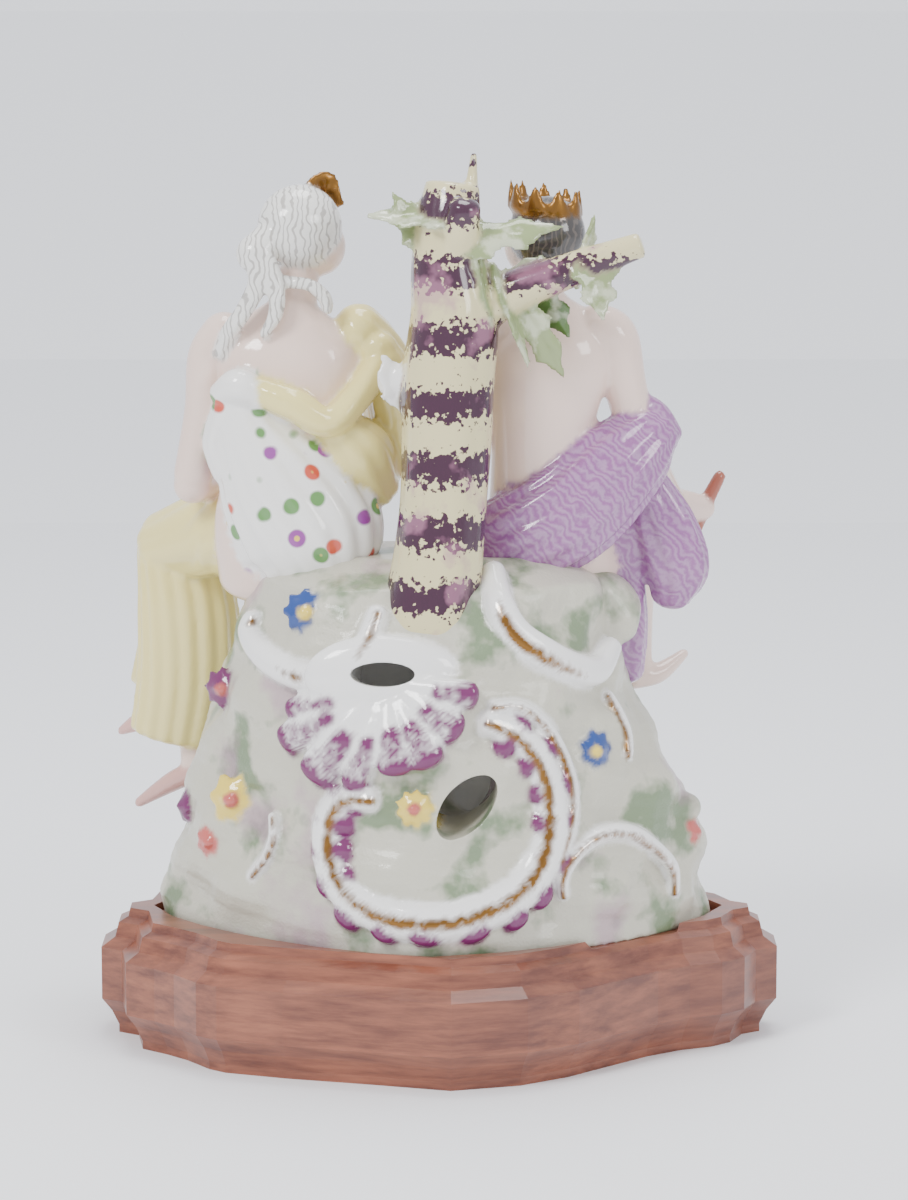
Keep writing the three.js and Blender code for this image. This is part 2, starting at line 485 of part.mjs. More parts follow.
function porcelainGroup() {
  const parts = [mound(), ...rocaille(), ...flowers(), ...figureSide(), ...tree(), ...woman(), ...man()];
  let body = solid(parts[0]);
  for (const part of parts.slice(1)) body = body.add(solid(part));
  for (const cut of hollow()) body = body.subtract(solid(cut));
  return fromSolid(body);
}

// The plinth's plan on the scroll side, from the left ear to the right one. The other side mirrors it.
const PLINTH_EDGE = [
  [-115, -9], [-107.5, -14], [-105, -31], [-95, -39], [-88, -46], [-80, -57], [-73, -62.5], [-51, -70],
    [-24, -77], [4, -85],
  [29, -78], [46, -67], [60, -54], [73, -42], [84, -34.5], [95, -30], [103, -23], [107.5, -13], [115, -8],
];

// Its profile from the ground up: [height, inset].
const PLINTH_PROFILE = [
  [0, 5.5], [2.8, 5.5], [8, 3.2], [12.5, 0], [30.5, 0], [33.6, 4.6], [38.5, 5.8], [40.2, 9], [43, 9.6],
];

function plinth() {
  const far = PLINTH_EDGE.map(([x, y]) => [x, -y]).reverse();
  const plan = [...PLINTH_EDGE, ...far];
  const count = plan.length;
  const inwards = plan.map((p, i) => {
    const [a, b] = [plan[(i + count - 1) % count], plan[(i + 1) % count]];
    const one = new THREE.Vector2(a[1] - p[1], p[0] - a[0]).normalize();
    const two = new THREE.Vector2(p[1] - b[1], b[0] - p[0]).normalize();
    const sum = one.clone().add(two).normalize();
    return sum.multiplyScalar(1 / Math.max(sum.dot(one), 0.6));
  });
  const levels = PLINTH_PROFILE.length;
  const geometry = new THREE.SphereGeometry(1, count, levels + 1);
  const position = geometry.attributes.position;
  for (let i = 0; i < position.count; i++) {
    const ring = Math.floor(i / (count + 1));
    const k = (i % (count + 1)) % count;
    const [z, inset] = PLINTH_PROFILE[Math.min(Math.max(ring - 1, 0), levels - 1)];
    const pole = ring === 0 || ring === levels + 1;
    const x = pole ? 0 : plan[k][0] + inwards[k].x * inset;
    const y = pole ? 0 : plan[k][1] + inwards[k].y * inset;
    position.setXYZ(i, x, y, z);
  }
  const recess = new THREE.Shape();
  const steps = 28;
  const foot = moundPlan(MOUND_FOOT);
  for (let i = 0; i < steps; i++) {
    const turn = (2 * Math.PI * i) / steps;
    const [c, d] = [Math.cos(turn), Math.sin(turn)];
    const share = (Math.abs(c) ** foot.full + Math.abs(d) ** foot.full) ** (-1 / foot.full) * 1.03;
    const x = MOUND_MIDDLE_X + (c < 0 ? foot.left : foot.right) * c * share + RECESS_GAP * c;
    const y = (d < 0 ? foot.back : foot.front) * d * share + RECESS_GAP * d;
    if (i) recess.lineTo(x, y);
    else recess.moveTo(x, y);
  }
  const cutter = closed(new THREE.ExtrudeGeometry(recess, { depth: 2 * RECESS_DEPTH,
    bevelEnabled: false }).translate(0, 0, MOUND_FOOT));
  return fromSolid(solid(closed(geometry)).subtract(solid(cutter)));
}

function named(name, geometry, material) {
  const mesh = new THREE.Mesh(geometry, material);
  mesh.name = name;
  return mesh;
}

const group = new THREE.Group();
group.add(named("porcelain_group", porcelainGroup(), PORCELAIN), named("wood_plinth", plinth(), WOOD));

export default group;
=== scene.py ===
"""Looks of a glazed porcelain figure group on a moulded wooden plinth.
Forms are in millimetres and become metres when they are made a mesh. The studio is in metres."""
import math

import bpy
import numpy as np
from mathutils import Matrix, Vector
from mathutils.kdtree import KDTree


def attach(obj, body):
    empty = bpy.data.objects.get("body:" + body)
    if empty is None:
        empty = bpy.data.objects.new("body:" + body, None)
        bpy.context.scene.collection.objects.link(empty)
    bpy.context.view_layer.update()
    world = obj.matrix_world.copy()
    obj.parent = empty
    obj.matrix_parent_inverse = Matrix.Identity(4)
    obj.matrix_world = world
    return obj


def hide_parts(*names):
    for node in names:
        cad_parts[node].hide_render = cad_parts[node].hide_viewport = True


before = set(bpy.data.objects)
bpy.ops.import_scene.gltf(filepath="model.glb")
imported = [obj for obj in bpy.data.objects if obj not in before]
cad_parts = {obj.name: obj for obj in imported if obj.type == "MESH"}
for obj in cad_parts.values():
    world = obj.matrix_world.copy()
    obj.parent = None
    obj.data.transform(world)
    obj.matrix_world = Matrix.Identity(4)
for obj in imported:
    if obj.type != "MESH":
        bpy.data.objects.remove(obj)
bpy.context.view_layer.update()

MM = 0.001
GROUP, PLINTH, BODY = "porcelain_group", "wood_plinth", "root"
# The voxel size of the porcelain's skin, and how far each pass of smoothing rounds it.
SKIN_GRID, ROUNDING = 1.0, 0.5

SKIN, CLOTH_WHITE, CLOTH_YELLOW, CLOTH_LILAC, HAIR_WHITE, HAIR_DARK, BARK = range(7)
LEAF, ROCK, GLAZE, GOLD, PURPLE, STICK = range(7, 13)
BLUE, YELLOW_PETAL, RED_PETAL, SANDAL, LEAF_DARK = range(13, 18)
PAINTS = {
    SKIN: (0.84, 0.65, 0.56), CLOTH_WHITE: (0.88, 0.87, 0.84), CLOTH_YELLOW: (0.82, 0.71, 0.28),
    CLOTH_LILAC: (0.30, 0.11, 0.30), HAIR_WHITE: (0.80, 0.79, 0.75), HAIR_DARK: (0.055, 0.05, 0.048),
    BARK: (0.68, 0.61, 0.34), LEAF: (0.27, 0.33, 0.15), ROCK: (0.56, 0.54, 0.44), GLAZE: (0.88, 0.87, 0.85),
    GOLD: (0.22, 0.10, 0.015), PURPLE: (0.15, 0.018, 0.10), STICK: (0.36, 0.10, 0.06),
    BLUE: (0.02, 0.06, 0.25), YELLOW_PETAL: (0.80, 0.60, 0.10), RED_PETAL: (0.55, 0.12, 0.10),
    SANDAL: (0.66, 0.38, 0.34), LEAF_DARK: (0.10, 0.18, 0.05),
}
# The masks that the material reads, each with the paints it covers.
MASKS = {
    "rock": [ROCK], "bark": [BARK], "flowered": [CLOTH_WHITE], "gilt": [GOLD],
    "hair": [HAIR_WHITE, HAIR_DARK], "lilac": [CLOTH_LILAC], "foliage": [LEAF, LEAF_DARK],
}

# How every rounded body ends, how thin it may run between two stations, and how its folds wander.
CAP_RINGS = 6
LEAST_WIDTH_SHARE = 0.9
FOLD_SWELL, FOLD_MIDDLE = 1.5, 0.6
WANDER, WANDER_TURNS, WANDER_ALONG = 0.6, 2.3, 3


def curve_points(stations, count):
    """Catmull-Rom through the stations, read at count even parameters: place and half-widths together.
    A station is x, y, z and one or two half-widths."""
    p = np.array([list(s) + [s[3]] * (5 - len(s)) for s in stations], float)
    at = np.linspace(0, len(p) - 1, count)
    i = np.minimum(at.astype(int), len(p) - 2)
    t = (at - i)[:, None]
    a, b, c, d = p[np.maximum(i - 1, 0)], p[i], p[i + 1], p[np.minimum(i + 2, len(p) - 1)]
    out = (2 * b + (c - a) * t + (2 * a - 5 * b + 4 * c - d) * t**2 + (3 * b - a - 3 * c + d) * t**3) / 2
    out[:, 3:] = np.maximum(out[:, 3:], np.minimum(b, c)[:, 3:] * LEAST_WIDTH_SHARE)
    return out


def unit(v):
    """The vectors at length one."""
    return v / np.maximum(np.linalg.norm(v, axis=-1, keepdims=True), 1e-9)


def full_turn(around):
    """Even angles once round, in radians."""
    return np.arange(around) * 2 * math.pi / around


def limb(stations, side=(1, 0, 0), around=48, rings=40, folds=None, cap=1.0):
    """A rounded body along a curve: rings of an ellipse square to it, closed by quarter-round ends
    that reach out by cap times the smaller half-width. folds (count, depth, phase, twist) swells the
    rings by the size of a cosine of the turn, so ridges are rounded and valleys are narrow."""
    total = rings + 2 * CAP_RINGS
    path = curve_points(stations, rings + 1)
    ring = np.arange(total + 1)
    start = np.minimum(ring / CAP_RINGS, 1) * math.pi / 2
    stop = np.minimum((total - ring) / CAP_RINGS, 1) * math.pi / 2
    size = np.sin(start) * np.sin(stop)
    on = np.clip(ring - CAP_RINGS, 0, rings)
    tangent = unit(np.gradient(path[:, :3], axis=0))[on]
    reach = [min(path[0, 3:]) * cap, min(path[-1, 3:]) * cap]
    centre = path[on, :3] + tangent * (reach[1] * np.cos(stop) - reach[0] * np.cos(start))[:, None]
    sideways = np.array(side, float) - tangent * (tangent @ np.array(side, float))[:, None]
    sideways = unit(sideways)
    across = np.cross(tangent, sideways)
    turn = full_turn(around)
    ridge = np.ones((total + 1, around))
    if folds:
        count, depth, phase, twist = folds
        along = (on / rings)[:, None]
        wave = count * turn[None] + phase + twist * along
        wave = wave + WANDER * np.sin(WANDER_TURNS * turn[None] + WANDER_ALONG * along)
        ridge += depth * FOLD_SWELL * (np.abs(np.cos(wave / 2)) - FOLD_MIDDLE)
    radial = (ridge * size[:, None])[..., None]
    offset = np.cos(turn)[None, :, None] * path[on, 3:4][:, None] * sideways[:, None]
    offset = offset + np.sin(turn)[None, :, None] * path[on, 4:5][:, None] * across[:, None]
    return grid_mesh(centre[:, None] + radial * offset)


def grid_mesh(points):
    """Vertices and quads of a grid of rings that closes round; the first and last rings close to points."""
    rings, around = points.shape[:2]
    i, j = np.meshgrid(np.arange(rings - 1), np.arange(around), indexing="ij")
    k = (j + 1) % around
    quads = np.stack([i * around + j, i * around + k, (i + 1) * around + k, (i + 1) * around + j], -1)
    return points.reshape(-1, 3), quads.reshape(-1, 4)


def egg(centre, sizes, facing=0.0, around=40, rings=28):
    """An ellipsoid turned about Z by facing radians."""
    polar = np.linspace(0, math.pi, rings + 1)[:, None]
    turn = full_turn(around)[None]
    x, y = sizes[0] * np.sin(polar) * np.cos(turn), sizes[1] * np.sin(polar) * np.sin(turn)
    z = sizes[2] * np.cos(polar) * np.ones_like(turn)
    c, s = math.cos(facing), math.sin(facing)
    return grid_mesh(np.stack([x * c - y * s, x * s + y * c, z], -1) + np.array(centre, float))


# Each level of the mound: height, reach left, right, back and front, and fullness.
MOUND_LEVELS = np.array([
    [40, -94, 93, -69, 64, 1.45], [60, -92, 90, -69, 62, 1.5], [85, -85, 83, -66, 57, 1.6],
    [105, -79, 73, -63, 51, 1.7], [120, -75, 64, -60, 46, 1.8], [140, -68, 58, -54, 40, 2.0],
    [158, -62, 55, -42, 34, 2.2], [166, -40, 40, -24, 20, 2.2],
])
MIDDLE_X = -2.0
MOUND_FOOT, MOUND_RISE = 40, 126
MOUND_HALF_LENGTH = 90
FARTHEST_SHARE = 0.97

# Each swell of the rock: share of the radius, turns round, radians a millimetre up, and start.
ROCK_SWELLS = [(0.016, 7, 0.11, 0), (0.014, 11, -0.17, 1), (0.01, 4, 0.31, 0)]
ROCK_LUMPS, ROCK_FADE = 0.004, 10

BAND_RINGS, BAND_ENDS, BAND_SWELL = 220, 0.6, 0.4

PETAL_SIDES, FLOWER_RINGS = 14, 16
# Shares of a flower's radius.
PETAL_NOTCH, PETAL_GROOVE, FLOWER_DOME = 0.14, 0.05, 0.30
BUTTON_RISE, BUTTON_REACH = 0.28, 0.28

# A leaf's half-width at shares of its length, from behind its base to its tip.
LEAF_SHARES = [-0.12, 0.06, 0.26, 0.38, 0.62, 0.76, 1]
LEAF_WIDTHS = [0.1, 0.62, 1, 0.6, 0.78, 0.34, 0.04]

# A leaf's thickness, teeth, veins and bend.
LEAF_RINGS, LEAF_SIDES = 64, 44
LEAF_HALF_THICKNESS, THIN_BELOW = 0.9, 1.5
TOOTH_SHARE, TEETH = 0.09, 34
MIDRIB_DEPTH, MIDRIB_WIDTH = 0.5, 0.9
VEIN_DEPTH, VEINS, VEIN_SLANT, VEIN_SHARPNESS = 0.25, 9, 5, 6
CURL_ALONG, CURL_ACROSS = 0.6, 0.4


def mound_plan(z):
    """The mound's reach left, right, back and front and its fullness at height z, read between its levels."""
    return [np.interp(z, MOUND_LEVELS[:, 0], MOUND_LEVELS[:, k]) for k in range(1, 6)]


def on_mound(x, z, lift=0.0, face=-1):
    """A point of the mound's scroll side (face -1) or figure side (face 1), pushed out by lift."""
    left, right, back, front, full = mound_plan(z)
    reach = MIDDLE_X - left if x < MIDDLE_X else right - MIDDLE_X
    share = min(abs(x - MIDDLE_X) / reach, FARTHEST_SHARE)
    depth = (-back if face < 0 else front) * (1 - share**full) ** (1 / full)
    return [x, face * (depth + lift), z]


def mound():
    """Superellipse rings between the levels, swollen by a sum of sines into rock. The swelling
    fades towards the foot, and finer lumps are the product of two sines."""
    around, rings = 320, 150
    ring = np.arange(rings + 1)[:, None]
    z = MOUND_FOOT + MOUND_RISE * np.clip((ring - 1) / (rings - 2), 0, 1)
    turn = full_turn(around)[None]
    left, right, back, front, full = mound_plan(z)
    c, s = np.cos(turn), np.sin(turn)
    half_x = np.where(c < 0, MIDDLE_X - left, right - MIDDLE_X)
    half_y = np.where(s < 0, -back, front)
    share = (np.abs(c) ** full + np.abs(s) ** full) ** (-1 / full)
    rock = sum(swell * np.sin(turns * turn + rise * z + start) for swell, turns, rise, start in ROCK_SWELLS)
    rock = rock + ROCK_LUMPS * np.sin(29 * turn + 0.6 * z) * np.sin(0.9 * z - 17 * turn)
    size = share * (1 + rock * np.minimum((z - MOUND_FOOT) / ROCK_FADE, 1))
    size = np.where((ring == 0) | (ring == rings), 0, size)
    return grid_mesh(np.stack([MIDDLE_X + half_x * c * size, half_y * s * size, z + 0 * turn], -1))


def band(line, wide, high, lift, face=-1):
    """A raised band along a line of x and z on the mound, widest at its middle by a half sine."""
    count = len(line)
    stations = []
    for i, (x, z) in enumerate(line):
        taper = BAND_ENDS + BAND_SWELL * math.sin(math.pi * (i + 0.5) / count)
        stations.append([*on_mound(x, z, lift, face), high, wide * taper])
    return limb(stations, side=(0, 1, 0), around=32, rings=BAND_RINGS, cap=0.7)


def flower(centre, out, radius, petals):
    """A domed disc of petals with a raised middle, looking along out. The radius dips between petals
    and the face dips along each petal's middle, both by a cosine of the turn."""
    polar = np.linspace(0, math.pi, FLOWER_RINGS + 1)[:, None]
    turn = full_turn(petals * PETAL_SIDES)[None]
    flat = np.sin(polar)
    edge = 1 - PETAL_NOTCH * (1 - np.cos(petals * turn)) * flat
    button = BUTTON_RISE * np.exp(-((flat / BUTTON_REACH) ** 2)) * (polar < math.pi / 2)
    high = radius * (FLOWER_DOME * np.cos(polar) + button - PETAL_GROOVE * flat * np.cos(petals * turn))
    p = np.stack([flat * np.cos(turn) * radius * edge, flat * np.sin(turn) * radius * edge, high], -1)
    normal = unit(np.array(out, float))
    u = unit(np.cross([0, 0, 1.0], normal))
    v = np.cross(normal, u)
    return grid_mesh(p[..., :1] * u + p[..., 1:2] * v + p[..., 2:] * normal + np.array(centre, float))


def leaf(base, tip, up, wide, curl):
    """A lobed leaf 1.8 mm thick that thins to its edge: half-width read between its lobes, with the
    size of a sine as teeth, bent towards up by squares of its length and width. A midrib, the bell
    of a Gaussian, and slanting side veins are sunk in it."""
    base, tip = np.array(base, float), np.array(tip, float)
    length = np.linalg.norm(tip - base)
    s = np.linspace(LEAF_SHARES[0], LEAF_SHARES[-1], LEAF_RINGS + 1)[:, None]
    lobes = np.interp(s, LEAF_SHARES, LEAF_WIDTHS)
    half = wide * lobes * (1 + TOOTH_SHARE * np.abs(np.sin(TEETH * s)))
    turn = full_turn(LEAF_SIDES)[None]
    half[0] = half[-1] = 0
    y = half * np.cos(turn)
    thick = LEAF_HALF_THICKNESS * np.sin(turn) * np.minimum(1, half / THIN_BELOW)
    midrib = -MIDRIB_DEPTH * np.exp(-((y / MIDRIB_WIDTH) ** 2))
    side_veins = VEIN_DEPTH * np.abs(np.sin(VEINS * s - VEIN_SLANT * np.abs(y) / wide)) ** VEIN_SHARPNESS
    vein = midrib - side_veins
    z = thick + curl * (s**2 * CURL_ALONG + (y / wide) ** 2 * CURL_ACROSS) + vein * (half > 0)
    long = unit(tip - base)
    face = np.array(up, float)
    face = unit(face - long * (face @ long))
    cross = np.cross(face, long)
    run = (s * length + 0 * turn)[..., None] * long
    return grid_mesh(base + run + y[..., None] * cross + z[..., None] * face)


def woman():
    """The seated woman: (paint, mesh) pairs from the same stations as the solids."""
    skirt = (16, 0.07, 0.4, 1.2)
    return [
        (SKIN, limb([[-50, 8, 158, 25, 20], [-52, 4, 176, 24, 18], [-52, 1, 200, 19, 13.5],
                     [-51, 0, 218, 22, 14], [-50, 1, 232, 25, 13.5], [-49.5, 2, 242, 17, 10],
                     [-49, 3, 249, 8, 8]], cap=0.5)),
        (SKIN, limb([[-49, 3, 244, 8, 8], [-46.5, 5, 264, 6.5, 7]])),
        (SKIN, egg([-40.5, 7.5, 267.5], [8.5, 9.5, 10], -1.08)),
        (HAIR_WHITE, egg([-46.5, 4, 274], [13, 14.6, 14.6], -1.08)),
        (HAIR_WHITE, limb([[-57, -3, 270, 6, 6], [-61, -5, 266, 6.5, 6.5]])),
        (HAIR_WHITE, limb([[-61, -7, 264, 4], [-60, -9, 257, 3.4], [-65, -10, 247, 3], [-70, -8, 240, 2.8],
                           [-73, -6, 233, 2]])),
        (HAIR_WHITE, limb([[-57, -8, 263, 3.6], [-54, -10, 256, 3], [-54, -12, 247, 2.6],
                           [-58, -12, 240, 1.6]])),
        (HAIR_WHITE, limb([[-52, -7, 257, 2.2], [-43, -9, 256, 2.2], [-38, -9, 252, 2.4],
                           [-37, -9, 248, 2]])),
        (GOLD, limb([[-43.5, 9, 287, 3.4, 1.2], [-38, 14, 287.5, 5, 1.4], [-34, 15, 281, 3.4, 1.2]],
                    side=(-0.2, -0.4, 1))),
        (SKIN, limb([[-72, 4, 238, 8, 9], [-77, 4, 230, 7.6, 8.4], [-79.5, 4, 213, 6.2, 7],
                     [-83, 6, 191, 6.6, 6.6]])),
        (SKIN, limb([[-83.5, 7, 187, 6.4], [-77, 24, 186, 5.8], [-67, 40, 188, 4.2]], side=(0, 0, 1))),
        (SKIN, limb([[-66, 41, 188, 4.4, 3], [-57, 52, 188, 4.6, 2.6]], side=(0, 0, 1))),
        (CLOTH_YELLOW, limb([[-27, 3, 240, 8.5, 9.5], [-20, 9, 230, 9.5, 10], [-16, 15, 214, 10, 10],
                             [-17, 18, 203, 8.5, 9]], folds=(10, 0.06, 0, 1))),
        (SKIN, limb([[-18, 18, 203, 6], [-14, 34, 197, 5], [-9, 46, 196, 3.8]], side=(0, 0, 1))),
        (SKIN, limb([[-8, 47, 196, 4, 3], [-1, 52, 195, 3.6, 2.6]], side=(0, 0, 1))),
        (CLOTH_YELLOW, limb([[-54, 10, 168, 18, 17], [-74, 28, 168, 16, 15], [-93, 46, 161, 12.5, 12.5]],
                            side=(0.6, -0.8, 0), folds=(8, 0.04, 0, 1))),
        (CLOTH_YELLOW, limb([[-46, 22, 168, 16, 14], [-66, 44, 169, 14, 13], [-84, 61, 160, 11.5, 11.5]],
                            side=(0.6, -0.8, 0), folds=(8, 0.04, 0, 1))),
        (CLOTH_YELLOW, limb([[-92, 47, 161, 13.5, 12.5], [-88, 46, 140, 17, 14], [-88, 47, 115, 17.5, 13],
                             [-92, 49, 93, 16.5, 10.5]], around=96, folds=skirt, cap=0.3)),
        (CLOTH_YELLOW, limb([[-84, 61, 160, 12, 11], [-93, 61, 132, 11, 10], [-100, 61, 108, 9.5, 8]],
                            folds=(10, 0.05, 0, 1), cap=0.3)),
        (SKIN, limb([[-86, 48, 94, 5.4], [-86, 47, 83, 5]])),
        (SANDAL, limb([[-84, 46, 81, 4.6, 4], [-94, 48.5, 76, 4.4, 3.6], [-106, 51, 68, 2.6, 1.8]],
                      side=(0, 1, 0))),
        (SKIN, limb([[-102, 61, 106, 4.4], [-104, 62, 98, 4.2]])),
        (SANDAL, limb([[-102, 61, 97, 4, 3.6], [-108, 63, 94, 3.6, 3], [-113, 65, 91, 2, 1.6]],
                      side=(0, 1, 0))),
        (CLOTH_WHITE, limb([[-67, -7, 220, 8.5, 8], [-61, -5, 205, 15, 12.5], [-53, -5, 190, 21.5, 16],
                            [-43, -6, 173, 24.5, 17], [-40, -6, 162, 20, 15]], around=96,
                           folds=(16, 0.055, 0.5, 2.6), cap=0.45)),
        (CLOTH_WHITE, limb([[-72, -9, 220, 4.5], [-66, -14, 223, 6], [-60, -14, 219, 4.5]], side=(0, 1, 0))),
        (CLOTH_WHITE, limb([[-71, -7, 214, 5, 6], [-74, -5, 203, 5, 6], [-72, -5, 193, 4, 5]],
                           folds=(6, 0.1, 0, 1))),
        (CLOTH_YELLOW, limb([[-61, -14, 222, 4.5], [-48, -17, 217, 5.5], [-37, -16, 211, 5],
                             [-27, -10, 219, 5], [-19, -2, 231, 5]], side=(0, 1, 0),
                            folds=(6, 0.08, 0, 9))),
        (CLOTH_YELLOW, limb([[-35, -8, 208, 8, 7], [-28, -4, 200, 12, 12], [-22, 4, 190, 9, 12]],
                            folds=(10, 0.07, 0, 2))),
        (CLOTH_YELLOW, limb([[-21, -1, 234, 7, 6], [-15, 4, 218, 9, 8], [-14, 8, 200, 8, 8],
                             [-20, 9, 191, 5, 6]], folds=(10, 0.08, 0, 1))),
    ]


def man():
    """The seated man: (paint, mesh) pairs from the same stations as the solids."""
    return [
        (SKIN, limb([[38, 10, 158, 24, 19], [36, 5, 176, 20, 16], [34, 1, 198, 16.5, 12.5],
                     [35.5, -1, 217, 18.5, 13], [37.5, -1, 232, 20.5, 13], [37, 1, 242, 15, 10],
                     [35.5, 2, 249, 8, 8]], cap=0.5)),
        (SKIN, limb([[35.5, 2, 245, 7.4], [33, 4, 263, 6.4]])),
        (HAIR_DARK, egg([36, 4.6, 272], [12.2, 13.4, 12.6], 0.93)),
        (SKIN, egg([30.5, 9, 267], [7.8, 9, 9.4], 0.93)),
        (SKIN, limb([[53, 1, 241, 8, 9], [58.5, 1, 237, 8.4, 9], [62.5, 2, 221, 7.2, 7.6],
                     [67, 5, 203, 6.8, 7]])),
        (SKIN, limb([[67, 6, 202, 6.6], [73, 20, 190, 5.8], [80, 32, 179, 4.2]])),
        (SKIN, limb([[80, 32, 179, 4, 3.4], [88, 39, 175, 5, 3.4], [93, 42, 174, 3.6, 2.6]], side=(0, 0, 1))),
        (STICK, limb([[88.5, 41, 166, 2.2], [92, 42, 175, 2.6], [97, 43, 185, 2.2]])),
        (SKIN, limb([[20, 3, 241, 8, 9], [14, 7, 233, 7.6, 8.4], [10, 16, 220, 6.6, 7], [8, 25, 210, 6.4]])),
        (SKIN, limb([[8, 25, 210, 6.2], [5, 38, 202, 5.2], [1, 48, 196, 4]])),
        (SKIN, limb([[1, 48, 196, 4, 3], [-4, 54, 193, 3.4, 2.6]], side=(0, 0, 1))),
        (CLOTH_LILAC, limb([[44, 14, 166, 17, 15], [58, 36, 166, 14.5, 13.5], [66, 52, 160, 12, 12]],
                           side=(0.8, -0.5, 0), folds=(8, 0.04, 0, 1))),
        (CLOTH_LILAC, limb([[30, 14, 166, 16, 15], [34, 38, 168, 14.5, 13.5], [36, 56, 160, 12, 12]],
                           folds=(8, 0.04, 0, 1))),
        (SKIN, limb([[66, 52, 158, 10], [67, 54, 142, 8.2], [69, 53, 122, 5.6], [70, 52, 114, 5]])),
        (SKIN, limb([[68, 51, 113, 4.6, 4.4], [77, 54, 114, 4.4, 3.6], [86, 58, 120, 2.2, 1.8]],
                    side=(0, 1, 0))),
        (SKIN, limb([[36, 56, 158, 10], [35, 60, 138, 8.2], [33, 58, 112, 5.6], [33, 56, 102, 5]])),
        (SKIN, limb([[33, 54, 100, 4.6, 4.4], [32, 64, 97, 4.6, 3.6], [31, 74, 93, 3, 2]])),
        (CLOTH_LILAC, limb([[14, -2, 164, 15, 13], [28, -8, 171, 16.5, 12], [44, -9, 180, 17, 11],
                            [58, -5, 193, 16, 10], [69, 0, 203, 12.5, 8.5], [75, 3, 207, 8, 6]],
                           side=(-0.5, 0, 0.85), around=96, folds=(12, 0.08, 1.2, 1.2), cap=0.6)),
        (CLOTH_LILAC, limb([[66, 2, 214, 6, 4], [73, 3, 211, 5, 4], [79, 4, 205, 3, 3]], side=(0, 0, 1))),
        (CLOTH_LILAC, limb([[70, 8, 186, 8, 7], [76, 8, 172, 11, 7.5], [80, 8, 158, 11.5, 7],
                            [79, 9, 149, 7, 5]], folds=(8, 0.1, 0, 0.8))),
        (CLOTH_LILAC, limb([[62, 9, 172, 7, 6], [63, 11, 155, 6.8, 6], [63.5, 12, 138, 7.6, 6],
                            [61.5, 12, 123, 8.4, 5.5]], folds=(6, 0.1, 1, 0.5))),
        (CLOTH_LILAC, limb([[40, 34, 176, 20, 6], [46, 54, 168, 22, 7], [46, 62, 152, 20, 5],
                            [42, 60, 142, 14, 4]], folds=(10, 0.1, 0, 0.6))),
        *crown(),
    ]


CROWN_POINTS, CROWN_TURN = 9, 0.2
CROWN_MIDDLE, CROWN_HALF_SIZES = (35.5, 6), (11.4, 12.2)
CROWN_SEAT, CROWN_LEAN = 281.4, 0.14


def crown():
    """The gilt crown: a flared band and a ring of flat points, lower to the right as the head leans."""
    middle_x, middle_y = CROWN_MIDDLE
    half_x, half_y = CROWN_HALF_SIZES
    out = [(GOLD, limb([[35.3, 6, 279, 11.6, 12.4], [35.5, 6, 282, 12.2, 12.8]], cap=0.1, rings=4))]
    for i in range(CROWN_POINTS):
        turn = 2 * math.pi * i / CROWN_POINTS + CROWN_TURN
        x = middle_x + half_x * math.cos(turn)
        y = middle_y + half_y * math.sin(turn)
        z = CROWN_SEAT - (x - middle_x) * CROWN_LEAN
        point = [[x, y, z - 2, 3.6, 1.3], [x, y, z + 2, 2.8, 1.1], [x, y, z + 7, 0.5, 0.5]]
        along = (-math.sin(turn), math.cos(turn), 0)
        out.append((GOLD, limb(point, side=along, around=16, rings=8, cap=0.3)))
    return out


# Each leaf: paint, base, tip, the way its face looks, half-width and curl.
LEAVES = [
    (LEAF, [6, -28, 281], [-24, -27, 278], [0.1, -0.45, 1], 13, 5),
    (LEAF, [-4, -26, 270], [-16, -26, 288], [0.5, -1, 0.2], 8, 3),
    (LEAF, [6, -33, 272], [41, -33, 279], [0, -0.75, 0.7], 9, -4),
    (LEAF, [20, -24, 256], [36, -22, 268], [0.2, -1, 0.2], 5, 2),
    (LEAF, [46, -23, 258], [51, -22, 282], [0.9, -0.5, 0], 6, 2),
    (LEAF, [50, -30, 266], [53, -34, 246], [0.3, -1, 0], 9, 5),
    (LEAF, [19, -28, 262], [30, -31, 228], [0.9, -0.4, 0.2], 6, 2),
    (LEAF, [28, -26, 250], [42, -26, 226], [-0.3, -1, -0.2], 7.5, 2),
    (LEAF_DARK, [30, -22, 258], [44, -20, 240], [0.2, 1, 0.3], 8.5, -3),
    (LEAF, [12, -32, 270], [17, -33, 244], [1, -0.3, 0], 5, 1.5),
]


